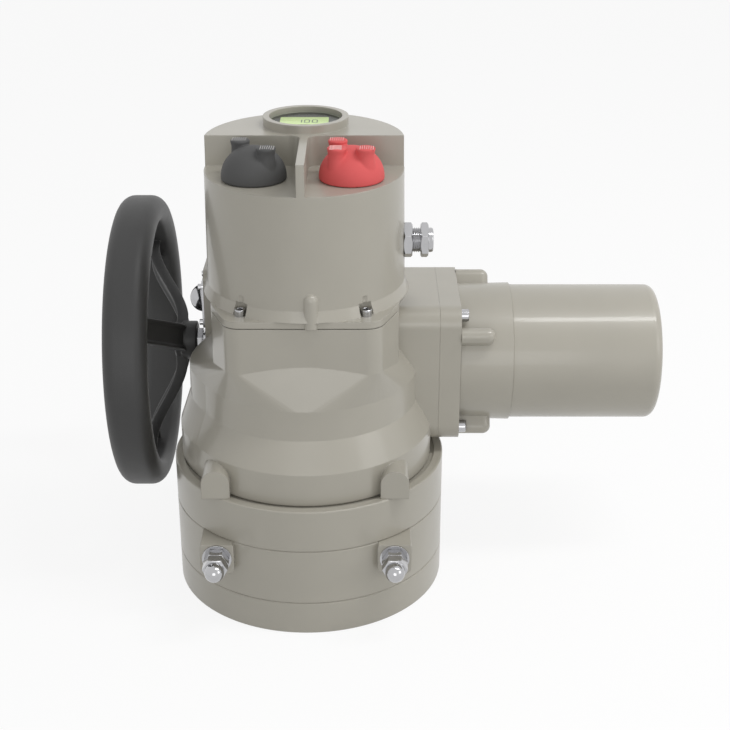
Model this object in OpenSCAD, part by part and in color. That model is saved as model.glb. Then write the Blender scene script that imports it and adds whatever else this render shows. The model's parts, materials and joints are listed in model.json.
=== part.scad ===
// Quarter-turn electric valve actuator with handwheel, local controls and display.
// Millimetres. Origin at the centre of the mounting face, +Z up, -Y towards the operator.

/* [Base stack] */
// Outer diameter of the three stacked base rings
body_d = 210; // [204:1:220]
// Thickness of the mounting flange
flange_h = 26.4; // [24:0.1:30]
// Height of the travel stop ring
stop_h = 44.4; // [42:0.1:50]
// Height of the ring gear
ring_h = 33.6; // [32:0.1:38]
// Diameter of the locating recess in the mounting face
spigot_d = 130; // [120:1:135]
// Depth of the locating recess
spigot_depth = 5; // [3:0.5:6]
// Pitch circle of the four mounting threads
mount_pcd = 165; // [160:1:168]
// Diameter of the mounting threads
mount_d = 20; // [16:1:20]
// Chamfer at each joint line of the stack
seam = 0.8; // [0.4:0.1:1.2]
// Pitch circle of the long clamp screws
clamp_pcd = 176; // [174:0.5:177]
// Number of long clamp screws
clamp_n = 8; // [4:4:8]
// Shank diameter of the clamp screws
clamp_d = 8; // [6:0.5:8]

/* [Gear housing] */
// Diameter of the lower band
low_d = 190.6; // [188:0.2:196]
// Height of the lower band
low_h = 24.8; // [22:0.2:28]
// Diameter at the foot of the middle band
mid_d = 167.4; // [166:0.2:172]
// Diameter at the top of the middle band
mid_top_d = 166.6; // [162:0.2:168]
// Rise of the lower cone
cone_h = 22; // [18:0.5:26]
// Height of the middle band
mid_h = 23.2; // [20:0.2:28]
// Rise of the shoulder to the corners of the neck
shoulder_h = 25.2; // [22:0.2:27]
// Rise of the neck's foot from its corners to the middle of its front
arch_h = 6; // [2:0.5:8]
// Height of the housing's top joint above the mounting face
neck_top = 234.8; // [230:0.2:240]
// Half width of the neck
neck_x = 69; // [66:0.5:72]
// Half depth of the neck between its front and rear bars
neck_y = 57; // [54:0.5:60]
// Corner radius of the neck
neck_r = 25; // [18:1:28]
// Width of the D-shaped lugs on the lower band
lug_w = 21; // [18:0.5:24]
// Distance of the lugs from the centre line
lug_x = 66; // [62:0.5:70]

/* [Cover] */
// Outer diameter of the cover wall
cover_d = 144.7; // [142:0.1:148]
// Outer diameter of the cover wall at its foot
cover_foot_d = 147.6; // [145:0.1:149]
// Wall thickness of the cover
cover_wall = 5; // [4:0.5:7]
// Height of the cover's top above the mounting face
cover_top = 354; // [348:1:362]
// Height of the control shelf above the mounting face
shelf_z = 331.3; // [326:0.5:336]
// Thickness of the cover's foot
foot_h = 5; // [4:0.5:8]
// Height of the locating boss on the cover's front
rib_h = 26; // [20:1:30]
// Distance of the cover screws from the centre, sideways
screw_x = 45; // [43:0.5:47]
// Distance of the cover screws from the centre, front to back
screw_y = 60.3; // [58:0.5:62]
// Radius of the bars that carry the cover screws
bar_r = 13.5; // [12:0.5:15]
// Outer diameter of the display bezel
bezel_d = 63.6; // [60:0.2:66]
// Clear diameter of the display window
window_d = 54.4; // [50:0.2:56]
// Height of the bezel above the cover
bezel_h = 6.5; // [5:0.5:9]
// Distance of the bezel behind the axis
bezel_y = 38; // [36:0.5:39]

/* [Controls] */
// Diameter of the control knobs
knob_d = 46.6; // [42:0.2:48]
// Height of the knob dome
knob_h = 23.7; // [21:0.1:26]
// Distance of each knob from the centre line
knob_x = 34.6; // [32:0.2:37]
// Distance of the knobs in front of the axis
knob_y = 27.3; // [25:0.2:30]
// Diameter of the fixed post that a knob turns on
post_d = 12; // [8:0.5:14]

/* [Gearing] */
// Module of the planetary stage
planet_m = 3; // [3:0.1:3]
// Teeth of the sun pinion
sun_n = 15; // [15:1:15]
// Teeth of each planet gear
planet_n = 18; // [18:1:18]
// Face width of the planet gears
planet_w = 18; // [16:0.5:20]
// Module of the worm stage
worm_m = 2; // [2:0.1:2]
// Teeth of the worm wheel
wheel_n = 32; // [32:1:32]
// Pitch diameter of the worm
worm_d = 22; // [22:0.5:22]
// Face width of the worm wheel
wheel_w = 14; // [12:0.5:15]
// Teeth of each handwheel gear
hand_n = 20; // [20:1:20]
// Play between meshing teeth, along the pitch line
backlash = 0.3; // [0.25:0.05:0.4]

/* [Output] */
// Bore of the drive insert for the valve stem
stem_d = 50; // [40:1:52]
// Width of the key slot in the drive insert
key_w = 14; // [10:1:16]
// Outer diameter of the drive insert
insert_d = 64; // [62:0.5:66]
// Diameter of the sleeve's lower journal
journal_d = 76; // [74:0.5:80]
// Distance of the stop screws from the centre line
stop_x = 66; // [64:0.5:67]
// Diameter of the stop screws
stop_d = 12; // [10:0.5:12]
// Height of the stop screws above the mounting face
stop_z = 60; // [58:0.2:61]

/* [Drive line] */
// Height of the worm, motor and handwheel axes
drive_z = 168; // [166:0.5:170]
// Distance of the handwheel axis behind the output axis
hand_y = 65; // [65:0.5:65]
// Length of the motor's adapter plate
adapter_t = 16.4; // [14:0.2:20]
// Side of the square motor flange
adapter_w = 110; // [106:1:114]
// Where the motor flange of the housing ends
boss_x = 100.6; // [98:0.2:104]
// Diameter of the motor barrel
barrel_d = 106; // [100:0.5:106]
// Length of the motor's bell
bell_l = 40.6; // [36:0.2:44]
// Length of the motor barrel behind the bell
barrel_l = 115; // [100:1:130]
// Motor shaft diameter
motor_shaft_d = 15; // [12:0.5:16]

/* [Handwheel] */
// Outer diameter of the handwheel
wheel_d = 234; // [210:1:240]
// Width of the rim
rim_w = 33; // [24:0.5:34]
// Thickness of the rim
rim_t = 21; // [16:0.5:22]
// Where the middle of the rim lies to the left of the output axis
rim_x = 134; // [130:0.5:140]
// Turn of the spokes at rest
spoke_turn = 26; // [0:1:60]
// Diameter of the hub
hub_d = 31; // [28:0.5:36]
// Length of the hub behind the spokes
hub_l = 11.6; // [10:0.2:14]
// Number of spokes
spoke_n = 3; // [3:1:5]

/* [Hidden] */
$fn = 96;

// Clearance of a running fit, of a push fit that must not touch, and the play of a clearance hole
run_fit = 0.05;
slip = 0.2;
hole_play = 0.5;
joint_gap = 0.3;
pressure = 20;

z_stop = flange_h;
z_ring = z_stop + stop_h;
z_house = z_ring + ring_h;
z_cone = z_house + low_h;
z_mid = z_cone + cone_h;
z_shoulder = z_mid + mid_h;
z_bars = z_shoulder + shoulder_h;
z_sides = z_bars - 5.5;
bulge_low = [-5, 8];
bulge_mid = [-9, 15];
body_r = body_d / 2;

groove_w = 3;
groove_t = 1.4;
ring_n = sun_n + 2 * planet_n;
carrier_r = planet_m * (sun_n + planet_n) / 2;
ring_root_r = planet_m * (ring_n / 2 + 1.25);
planet_z = z_ring + 9.2;
carrier_z = z_ring + 0.4;
carrier_t = 6;
carrier_d = 2 * (planet_m * ring_n / 2 - 4.5);
upper_seat_d = carrier_d + 6;
cap_z = planet_z + planet_w + 1.3;
cap_t = 3.6;
pin_d = 14;
planet_bore = 18;

worm_lead = PI * worm_m;
worm_y = (wheel_n * worm_m + worm_d) / 2;
worm_turns = 6;
worm_l = worm_turns * worm_lead;
lead_angle = atan(worm_m / worm_d);
hand_m = (hand_y - worm_y) / hand_n;
worm_tip_r = worm_d / 2 + worm_m;
worm_root_r = worm_d / 2 - 1.25 * worm_m;

sun_d = 28;
collar_d = 34;
cavity_d = 2 * (wheel_n * worm_m / 2 + worm_m + 4);
plate_z = z_house + 1.6;
plate_t = 12;
plate_d = 144;
lower_bearing_z = plate_z + 2;
bearing_w = 10;
bearing_d = 42;
upper_bearing_z = 190;
wheel_z = drive_z - wheel_w / 2;
nut_h = 8;
disc_z = upper_bearing_z + bearing_w + 6;

worm_journal_d = 15;
worm_bearing_d = 26;
worm_bearing_x = 56;
worm_bearing_w = 10;
worm_chamber_r = 16;
hand_gear_x = -52;
hand_gear_w = 8;
hand_d = 12;
hand_bush_d = 16;
left_x = -83;
seal_t = 4;
coupling_d = 26;
coupling_x0 = 76;
coupling_x1 = 106;
shaft_split_x = 90;

motor_x = boss_x + adapter_t;
barrel_x = motor_x + bell_l;
barrel_wall = 3.5;
end_wall = 6;
stator_l = 70;
stator_x = barrel_x + 14;
rotor_d = 58;
motor_bearing_d = 35;
motor_bearing_w = 11;
front_bearing_x = barrel_x - 16;
rear_bearing_x = barrel_x + barrel_l - end_wall - motor_bearing_w;
adapter_r = 14;
adapter_screw_d = 6;
flange_bolt_y = 41;
flange_bolt_z = 47;
lug_turn = 56;
bell_lug_r = 6.1;
bell_lug_at = 60.5;
bell_lug_l = 26;

gasket_t = 0.6;
gasket_inset = 1.5;
z_foot = neck_top + gasket_t;
cover_in_r = cover_d / 2 - cover_wall;
cover_screw_d = 5;
pocket_r = 5.6;
pocket_h = 9;
flare = 3;
rib_x = 6;
rib_r = 5.4;
top_wall = 6;
shelf_y = 5;
shelf_r = 8;
web_t = 6;
glass_t = 1.5;
glass_z = cover_top + 1.9;
screen_x = 37;
screen_y = 23;

hub_x = left_x - 9;
nut_x0 = left_x - 1;

// A point at a radius and an angle
function polar(r, a) = [r * cos(a), r * sin(a)];

// Involute angle, in degrees, of a point at radius r on a base circle
function involute(base_r, r) =
    let (a = acos(min(1, base_r / r))) tan(a) * 180 / PI - a;

// Half of a tooth's angle at radius r
function half_tooth(n, m, r, thin) =
    let (pitch_r = n * m / 2, base_r = pitch_r * cos(pressure), at = max(r, base_r))
    90 / n - thin / 2 / pitch_r * 180 / PI + involute(base_r, pitch_r) - involute(base_r, at);

// Outline of an involute gear: thin narrows each tooth, steps divide each flank
function gear_outline(n, m, root_r, tip_r, thin, steps = 4) =
    let (base_r = n * m / 2 * cos(pressure), from_r = max(root_r, base_r))
    [for (i = [0:n - 1])
        let (c = i * 360 / n)
        each concat(
            from_r > root_r ? [polar(root_r, c - half_tooth(n, m, from_r, thin))] : [],
            [for (k = [0:steps])
                let (r = from_r + (tip_r - from_r) * k / steps) polar(r, c - half_tooth(n, m, r, thin))],
            [for (k = [steps:-1:0])
                let (r = from_r + (tip_r - from_r) * k / steps) polar(r, c + half_tooth(n, m, r, thin))],
            from_r > root_r ? [polar(root_r, c + half_tooth(n, m, from_r, thin))] : []
        )];

// Turn of a planet at angle a that brings its tooth gap onto the sun's tooth
function planet_turn(a) = a + 180 - (0.5 - a * sun_n / 360) * 360 / planet_n;

module gear_2d(n, m, thin = backlash / 2) {
    polygon(gear_outline(n, m, m * (n / 2 - 1.25), m * (n / 2 + 1), thin));
}

module tube(od, id, h) {
    difference() {
        cylinder(d = od, h = h);
        translate([0, 0, -1]) cylinder(d = id, h = h + 2);
    }
}

// Block with four upright rounded edges, centred in X and Y
module rounded_block(x, y, h, r) {
    translate([-x / 2 + r, -y / 2, 0]) cube([x - 2 * r, y, h]);
    translate([-x / 2, -y / 2 + r, 0]) cube([x, y - 2 * r, h]);
    for (sx = [-1, 1], sy = [-1, 1])
        translate([sx * (x / 2 - r), sy * (y / 2 - r), 0]) cylinder(r = r, h = h);
}

// Places children around the axis
module around(n, r, start = 0) {
    for (i = [0:n - 1]) rotate([0, 0, start + i * 360 / n]) translate([r, 0, 0]) children();
}

// Turns children so that their +Z points along +X, from the given X
module along_x(x, y = 0, z = 0) {
    translate([x, y, z]) rotate([0, 90, 0]) children();
}

// Ring with a chamfered upper and lower outer edge
module seam_ring(r, h) {
    rotate_extrude()
        polygon([[0, 0], [r - seam, 0], [r, seam], [r, h - seam], [r - seam, h], [0, h]]);
}

module hex(af, h) {
    cylinder(d = af / cos(30), h = h, $fn = 6);
}

// Socket head screw: head up, shank down from z = 0
module cap_screw(d, l) {
    difference() {
        cylinder(d = 1.6 * d, h = d);
        translate([0, 0, d / 2]) hex(0.8 * d, d);
    }
    translate([0, 0, -l]) cylinder(d = d, h = l);
}

// Plain ball bearing drawn as one closed ring with recessed shields
module bearing(od, id, w) {
    ring = (od - id) / 6;
    difference() {
        tube(od, id, w);
        for (z = [-1, w - 0.6]) translate([0, 0, z]) tube(od - 2 * ring, id + 2 * ring, 1.6);
    }
}

module clamp_holes(z0, h) {
    around(clamp_n, clamp_pcd / 2, 180 / clamp_n)
        translate([0, 0, z0]) cylinder(d = clamp_d + 2 * hole_play, h = h);
}

module base_flange() {
    color("#9b968c") difference() {
        seam_ring(body_r, flange_h);
        translate([0, 0, -1]) cylinder(d = spigot_d, h = spigot_depth + 1);
        translate([0, 0, -1]) cylinder(d = journal_d + 8, h = flange_h + 2);
        around(4, mount_pcd / 2, 45) translate([0, 0, -1]) cylinder(d = mount_d - 2.5, h = flange_h + 2);
        clamp_holes(-1, flange_h + 2);
        around(clamp_n, clamp_pcd / 2, 180 / clamp_n)
            translate([0, 0, -1]) cylinder(d = 1.7 * clamp_d, h = clamp_d + 3);
    }
}

stop_cavity_r = 79;
pad_w = 25;
pad_h = 27;
pad_y = -95;

module stop_housing() {
    color("#9b968c") difference() {
        union() {
            translate([0, 0, z_stop]) seam_ring(body_r, stop_h);
            for (s = [-1, 1])
                intersection() {
                    translate([s * stop_x, pad_y, stop_z]) rotate([-90, 0, 0])
                        rounded_block(pad_w, pad_h, 40, 5);
                    translate([0, 0, z_stop]) cylinder(r = 130, h = stop_h);
                }
        }
        translate([0, 0, z_stop - 1]) cylinder(r = stop_cavity_r, h = stop_h + 2);
        clamp_holes(z_stop - 1, stop_h + 2);
        for (s = [-1, 1])
            translate([s * stop_x, pad_y - 1, stop_z]) rotate([-90, 0, 0])
                cylinder(d = stop_d + slip, h = 70);
    }
}

module ring_gear() {
    color("#9b968c") difference() {
        translate([0, 0, z_ring]) seam_ring(body_r, ring_h);
        translate([0, 0, z_ring - 1]) cylinder(d = upper_seat_d, h = 8.2);
        translate([0, 0, z_house - groove_t]) tube(low_d + 2 * groove_w, low_d - 4, groove_t + 1);
        translate([0, 0, z_ring + 7]) linear_extrude(ring_h)
            polygon(gear_outline(ring_n, planet_m, planet_m * (ring_n / 2 - 0.8), ring_root_r,
                -backlash / 2));
        clamp_holes(z_ring - 1, ring_h + 2);
    }
}

// Plan of the neck and of the cover's foot
module neck_plan(h, inset = 0) {
    neck_sides(h, inset);
    screw_bars(h, bar_r - inset);
}

// Sides of the neck, with the slanted flanks that run out to its corners
module neck_sides(h, inset = 0) {
    bar_at = [screw_x, screw_y];
    corner_at = [neck_x - neck_r, neck_y - neck_r];
    across = bar_at - corner_at;
    a = atan2(across.y, across.x) - acos((neck_r - bar_r) / norm(across));
    near = bar_at + polar(bar_r - inset, a);
    far = corner_at + polar(neck_r - inset, a);
    rounded_block(2 * (neck_x - inset), 2 * (neck_y - inset), h, neck_r - inset);
    linear_extrude(h) polygon([
        near, far, [far.x, -far.y], [near.x, -near.y],
        [-near.x, -near.y], [-far.x, -far.y], [-far.x, far.y], [-near.x, near.y]
    ]);
}

// Front and rear bars that carry the cover screws
module screw_bars(h, r = bar_r) {
    for (s = [-1, 1]) {
        translate([-screw_x, s * screw_y - r, 0]) cube([2 * screw_x, 2 * r, h]);
        for (t = [-1, 1]) translate([t * screw_x, s * screw_y, 0]) cylinder(r = r, h = h);
    }
}

module housing_bands() {
    translate([0, 0, z_house]) rotate_extrude()
        polygon([
            [0, 0], [low_d / 2, 0], [low_d / 2, low_h], [mid_d / 2, low_h + cone_h],
            [mid_top_d / 2, low_h + cone_h + mid_h], [0, low_h + cone_h + mid_h]
        ]);
}

// The bands again, set off towards the handwheel shaft
module housing_bulge() {
    translate([bulge_low.x, bulge_low.y, z_house]) cylinder(d = low_d, h = low_h);
    hull() {
        translate([bulge_low.x, bulge_low.y, z_cone - 0.2]) cylinder(d = low_d, h = 0.2);
        translate([bulge_mid.x, bulge_mid.y, z_mid - 0.2]) cylinder(d = mid_d, h = 0.2);
    }
    translate([bulge_mid.x, bulge_mid.y, z_mid - 0.1])
        cylinder(d1 = mid_d, d2 = mid_top_d, h = mid_h + 0.1);
}

// Shoulder from the bands up to the wavy foot of the neck
module housing_shoulder() {
    hull() {
        for (at = [[0, 0], bulge_mid])
            translate([at.x, at.y, z_shoulder - 0.2]) cylinder(d = mid_top_d, h = 0.2);
        for (sx = [-1, 1], sy = [-1, 1]) {
            translate([sx * screw_x, sy * screw_y, z_bars - 0.2]) cylinder(r = bar_r, h = 0.2, $fn = 32);
            translate([sx * (neck_x - neck_r), sy * (neck_y - neck_r), z_sides - 0.2])
                cylinder(r = neck_r, h = 0.2, $fn = 32);
        }
        for (s = [-1, 1])
            translate([0, s * (screw_y + bar_r), z_bars - 0.2]) rotate([90, 0, 0])
                linear_extrude(0.2, center = true) polygon(foot_arch());
    }
}

// Outline of the arch at the neck's foot
function foot_arch() = concat(
    [[screw_x, 0], [-screw_x, 0]],
    [for (i = [-4:4]) [i * screw_x / 4.5, 0.2 + arch_h * cos(20 * i)]]
);

// D-shaped lug on the lower band
module housing_lug() {
    lug_h = 22.6;
    lug_y = -85;
    translate([0, lug_y, z_house]) {
        translate([-lug_w / 2, 0, 0]) cube([lug_w, 30, lug_h - lug_w / 2]);
        translate([0, 0, lug_h - lug_w / 2]) rotate([-90, 0, 0]) cylinder(d = lug_w, h = 30);
    }
}

// Square boss that the motor bolts to
module motor_boss() {
    from = 55;
    along_x(from, worm_y, drive_z) rotate([0, 0, 90])
        rounded_block(adapter_w, adapter_w, boss_x - from, adapter_r);
}

// Block on the left that carries the handwheel shaft and the blanking plate
module hand_block() {
    block_y0 = 42;
    block_y1 = 86;
    block_z0 = 140;
    along_x(left_x, (block_y0 + block_y1) / 2, (block_z0 + neck_top) / 2) rotate([0, 0, 90])
        rounded_block(block_y1 - block_y0, neck_top - block_z0, 60, 8);
}

module gear_housing() {
    color("#9b968c") difference() {
        union() {
            housing_bands();
            housing_shoulder();
            translate([0, 0, z_shoulder - 10])
                rounded_block(2 * neck_x, 2 * neck_y, neck_top - z_shoulder + 10, neck_r);
            translate([0, 0, z_bars - 0.2]) screw_bars(neck_top - z_bars + 0.2);
            for (s = [-1, 1]) translate([s * lug_x, 0, 0]) housing_lug();
            for (s = [-1, 1]) rotate([0, 0, 180]) translate([s * lug_x, 0, 0]) housing_lug();
            motor_boss();
            hand_block();
            housing_bulge();
            translate([0, 0, z_sides - 0.2]) neck_sides(neck_top - z_sides + 0.2);
        }
        housing_hollows();
    }
}

module housing_hollows() {
    translate([0, 0, z_house - 1]) cylinder(d = plate_d, h = plate_z + plate_t - z_house + 1);
    translate([0, 0, z_house]) cylinder(d = cavity_d, h = upper_bearing_z - 4 - z_house);
    translate([0, 0, drive_z]) cylinder(d = sun_d + 8, h = 40);
    translate([0, 0, upper_bearing_z]) cylinder(d = bearing_d, h = 60);
    translate([0, 0, neck_floor_z]) rounded_block(100, 100, 60, 12);
    around(clamp_n, clamp_pcd / 2, 180 / clamp_n)
        translate([0, 0, z_house - 1]) cylinder(d = clamp_d + slip, h = 20);
    // worm tunnel with its two bearing seats and the coupling chamber
    along_x(-worm_bearing_x, worm_y, drive_z) cylinder(r = worm_chamber_r, h = 2 * worm_bearing_x);
    along_x(-worm_bearing_x - worm_bearing_w, worm_y, drive_z) cylinder(d = worm_bearing_d, h = 30);
    along_x(worm_bearing_x - 10, worm_y, drive_z) cylinder(d = worm_bearing_d, h = worm_bearing_w + 10);
    along_x(worm_bearing_x, worm_y, drive_z) cylinder(d = worm_journal_d + 4, h = 60);
    along_x(72, worm_y, drive_z) cylinder(d = coupling_d + 8, h = 60);
    // handwheel shaft
    along_x(left_x - 1, hand_y, drive_z) cylinder(d = hand_bush_d, h = 25);
    along_x(left_x - 1, hand_y, drive_z) cylinder(d = hand_d + 2, h = 45);
    along_x(left_x - 1, hand_y, drive_z) cylinder(d = hand_bush_d + 4, h = seal_t + 1);
    along_x(hand_gear_x - 1, hand_y, drive_z) cylinder(d = hand_m * (hand_n + 2) + 4, h = hand_gear_w + 2);
    // cover screw threads and motor flange threads
    for (sx = [-1, 1], sy = [-1, 1])
        translate([sx * screw_x, sy * screw_y, neck_top - 14]) cylinder(d = cover_screw_d + slip, h = 20);
    for (sy = [-1, 1], sz = [-1, 1])
        along_x(boss_x - 16, worm_y + sy * flange_bolt_y, drive_z + sz * flange_bolt_z)
            cylinder(d = adapter_screw_d + slip, h = 20);
    // blanking plate port
    along_x(left_x - 1, dome_y, dome_z) cylinder(d = 18, h = 16);
    for (sy = [-1, 1], sz = [-1, 1])
        along_x(left_x - 1, dome_y + sy * plate_bolt, dome_z + sz * plate_bolt) cylinder(d = 3.2, h = 9);
}

module clamp_screws() {
    head_z = clamp_d + 2;
    color("silver") around(clamp_n, clamp_pcd / 2, 180 / clamp_n)
        translate([0, 0, head_z]) mirror([0, 0, 1]) cap_screw(clamp_d, z_house + 16 - head_z);
}

sleeve_z = spigot_depth + 1;
insert_top = stop_z + 7;
sleeve_shoulder_z = z_stop + 2;
sector_z0 = stop_z - 9;
sector_z1 = stop_z + 9;
sector_r = 76;
sleeve_d = 92;
key_depth = 4;

module drive_sleeve() {
    color("#6f7276") difference() {
        union() {
            translate([0, 0, sleeve_z]) cylinder(d = journal_d, h = carrier_z - sleeve_z + 1);
            translate([0, 0, sleeve_shoulder_z])
                cylinder(d = sleeve_d, h = carrier_z - sleeve_shoulder_z + 1);
            translate([0, 0, sector_z0]) intersection() {
                cylinder(r = sector_r, h = sector_z1 - sector_z0);
                cube([sector_r + 1, sector_r + 1, 40]);
            }
            translate([0, 0, carrier_z]) cylinder(d = carrier_d, h = carrier_t);
        }
        translate([0, 0, sleeve_z - 1]) cylinder(d = insert_d, h = insert_top - sleeve_z + 1);
        translate([0, 0, insert_top - 1]) cylinder(d = stem_d + 2, h = 40);
        around(3, carrier_r, 90) translate([0, 0, carrier_z - 1]) cylinder(d = pin_d, h = carrier_t + 2);
    }
}

module drive_insert() {
    color("#8a8d90") difference() {
        translate([0, 0, sleeve_z]) cylinder(d = insert_d, h = insert_top - sleeve_z);
        translate([0, 0, sleeve_z - 1]) cylinder(d = stem_d, h = insert_top - sleeve_z + 2);
        translate([0, -key_w / 2, sleeve_z - 1])
            cube([stem_d / 2 + key_depth, key_w, insert_top - sleeve_z + 2]);
    }
}

module lower_bush() {
    color("#b08d57") translate([0, 0, sleeve_z])
        tube(journal_d + 8, journal_d + 2 * run_fit, flange_h - sleeve_z);
}

module upper_bush() {
    color("#b08d57") translate([0, 0, carrier_z]) tube(upper_seat_d, carrier_d + 2 * run_fit, carrier_t);
}

module thrust_washer() {
    color("#b08d57") translate([0, 0, z_stop]) tube(sleeve_d, journal_d + 2, sleeve_shoulder_z - z_stop);
}

stop_tip_y = -joint_gap;
stop_nut_af = 18;
stop_out = 22;

module stop_screws() {
    color("silver") for (s = [-1, 1])
        translate([s * stop_x, pad_y - stop_out, stop_z]) rotate([-90, 0, 0])
            cylinder(d = stop_d, h = stop_tip_y - pad_y + stop_out);
}

module stop_lock_nuts() {
    color("silver") for (s = [-1, 1])
        translate([s * stop_x, pad_y - 9.5, stop_z]) rotate([-90, 0, 0]) difference() {
            rotate([0, 0, 30]) hex(stop_nut_af, 8);
            translate([0, 0, -1]) cylinder(d = stop_d, h = 10);
        }
}

module stop_washers() {
    color("#5a5a5a") for (s = [-1, 1])
        translate([s * stop_x, pad_y - 1.5, stop_z]) rotate([-90, 0, 0]) tube(22, stop_d + slip, 1.5);
}

module stop_cap_nuts() {
    color("silver") for (s = [-1, 1])
        translate([s * stop_x, pad_y - 9.5, stop_z]) rotate([90, 0, 0]) difference() {
            union() {
                rotate([0, 0, 30]) hex(stop_nut_af, 8);
                translate([0, 0, 7.9]) cylinder(d = 15.4, h = 3);
                translate([0, 0, 10.4]) sphere(d = 15.4);
            }
            translate([0, 0, -1]) cylinder(d = stop_d, h = 13.5);
        }
}

module planet(i) {
    a = 90 + i * 120;
    color("#7d8083") rotate([0, 0, a]) translate([carrier_r, 0, planet_z])
        rotate([0, 0, planet_turn(a) - a]) difference() {
            linear_extrude(planet_w) gear_2d(planet_n, planet_m);
            translate([0, 0, -1]) cylinder(d = planet_bore + 2 * run_fit, h = planet_w + 2);
        }
}

module planet_gear_1() { planet(0); }
module planet_gear_2() { planet(1); }
module planet_gear_3() { planet(2); }

module planet_pins() {
    color("silver") around(3, carrier_r, 90) translate([0, 0, carrier_z])
        cylinder(d = pin_d, h = cap_z + cap_t - carrier_z);
}

module planet_bushes() {
    color("#b08d57") around(3, carrier_r, 90) translate([0, 0, carrier_z + carrier_t])
        tube(planet_bore, pin_d, cap_z - carrier_z - carrier_t);
}

module carrier_cap() {
    color("#6f7276") difference() {
        translate([0, 0, cap_z]) tube(132, 62, cap_t);
        around(3, carrier_r, 90) translate([0, 0, cap_z - 1]) cylinder(d = pin_d, h = cap_t + 2);
    }
}

module sun_shaft() {
    color("#7d8083") {
        translate([0, 0, planet_z]) linear_extrude(planet_w) gear_2d(sun_n, planet_m);
        translate([0, 0, planet_z + planet_w]) cylinder(d = sun_d, h = disc_z - planet_z - planet_w);
        translate([0, 0, lower_bearing_z + bearing_w + joint_gap])
            cylinder(d = collar_d, h = wheel_z - lower_bearing_z - bearing_w - joint_gap);
    }
}

module worm_wheel() {
    twist_a = wheel_w * tan(lead_angle) / (wheel_n * worm_m / 2) * 180 / PI;
    color("#b08d57") translate([0, 0, wheel_z]) difference() {
        rotate([0, 0, 180 / wheel_n - twist_a / 2])
            linear_extrude(wheel_w, twist = -twist_a, slices = 3)
                polygon(gear_outline(wheel_n, worm_m, worm_m * (wheel_n / 2 - 1.25),
                    worm_m * (wheel_n / 2 + 1), backlash, 3));
        translate([0, 0, -1]) cylinder(d = sun_d, h = wheel_w + 2);
    }
}

module wheel_nut() {
    color("silver") translate([0, 0, wheel_z + wheel_w]) difference() {
        hex(40, nut_h);
        translate([0, 0, -1]) cylinder(d = sun_d, h = nut_h + 2);
    }
}

module bearing_plate() {
    color("#8a8d90") translate([0, 0, plate_z]) difference() {
        cylinder(d = plate_d, h = plate_t);
        translate([0, 0, -1]) cylinder(d = sun_d + 6, h = plate_t + 2);
        translate([0, 0, lower_bearing_z - plate_z]) cylinder(d = bearing_d, h = plate_t);
    }
}

module sun_bearings() {
    color("#c9ccd0") for (z = [lower_bearing_z, upper_bearing_z])
        translate([0, 0, z]) bearing(bearing_d, sun_d + 2 * run_fit, bearing_w);
}

module position_disc() {
    color("#303436") translate([0, 0, disc_z]) difference() {
        cylinder(d = 60, h = 2);
        around(12, 25, 0) translate([0, 0, -1]) cylinder(d = 5, h = 4);
    }
}

// Section of the worm's thread, square to its axis
function worm_section() =
    let (
        half = worm_lead / 4 - backlash / 2,
        tip_a = (half - worm_m * tan(pressure)) / worm_lead * 360,
        root_a = (half + 1.25 * worm_m * tan(pressure)) / worm_lead * 360,
        flank = 5,
        top = 4,
        floor_n = 3
    )
    concat(
        [for (k = [0:top]) polar(worm_tip_r, -tip_a + 2 * tip_a * k / top)],
        [for (k = [1:flank])
            polar(worm_tip_r + (worm_root_r - worm_tip_r) * k / flank, tip_a + (root_a - tip_a) * k / flank)],
        [for (k = [1:floor_n - 1]) polar(worm_root_r, root_a + (360 - 2 * root_a) * k / floor_n)],
        [for (k = [flank:-1:1])
            polar(worm_tip_r + (worm_root_r - worm_tip_r) * k / flank, -tip_a - (root_a - tip_a) * k / flank)]
    );

module worm_shaft() {
    color("#7d8083") {
        along_x(-worm_l / 2, worm_y, drive_z) rotate([0, 0, -90])
            linear_extrude(worm_l, twist = -360 * worm_turns, slices = 18 * worm_turns, $fn = 18)
                polygon(worm_section());
        along_x(-worm_bearing_x + joint_gap, worm_y, drive_z)
            cylinder(r = worm_root_r - 0.3, h = 2 * worm_bearing_x - 2 * joint_gap);
        along_x(-worm_bearing_x - worm_bearing_w, worm_y, drive_z)
            cylinder(d = worm_journal_d, h = shaft_split_x + worm_bearing_x + worm_bearing_w);
    }
}

module worm_bearings() {
    color("#c9ccd0") for (x = [-worm_bearing_x - worm_bearing_w, worm_bearing_x])
        along_x(x, worm_y, drive_z) bearing(worm_bearing_d, worm_journal_d + 2 * run_fit, worm_bearing_w);
}

module hand_gear() {
    color("#7d8083") along_x(hand_gear_x, worm_y, drive_z) difference() {
        linear_extrude(hand_gear_w) gear_2d(hand_n, hand_m);
        translate([0, 0, -1]) cylinder(r = worm_root_r - 0.3, h = hand_gear_w + 2);
    }
}

module coupling() {
    color("#6f7276") along_x(coupling_x0, worm_y, drive_z)
        tube(coupling_d, motor_shaft_d, coupling_x1 - coupling_x0);
}

module hand_shaft() {
    color("silver") {
        along_x(hub_x - 20, hand_y, drive_z)
            cylinder(d = hand_d, h = hand_gear_x + hand_gear_w - hub_x + 20);
        along_x(hand_gear_x, hand_y, drive_z) rotate([0, 0, 180 / hand_n])
            linear_extrude(hand_gear_w) gear_2d(hand_n, hand_m);
    }
}

module hand_bush() {
    color("#b08d57") along_x(left_x + seal_t, hand_y, drive_z) tube(hand_bush_d, hand_d + 2 * run_fit, 20);
}

module hand_seal() {
    color("#202020") along_x(left_x, hand_y, drive_z) tube(hand_bush_d + 4, hand_d + 2 * run_fit, seal_t);
}

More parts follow.
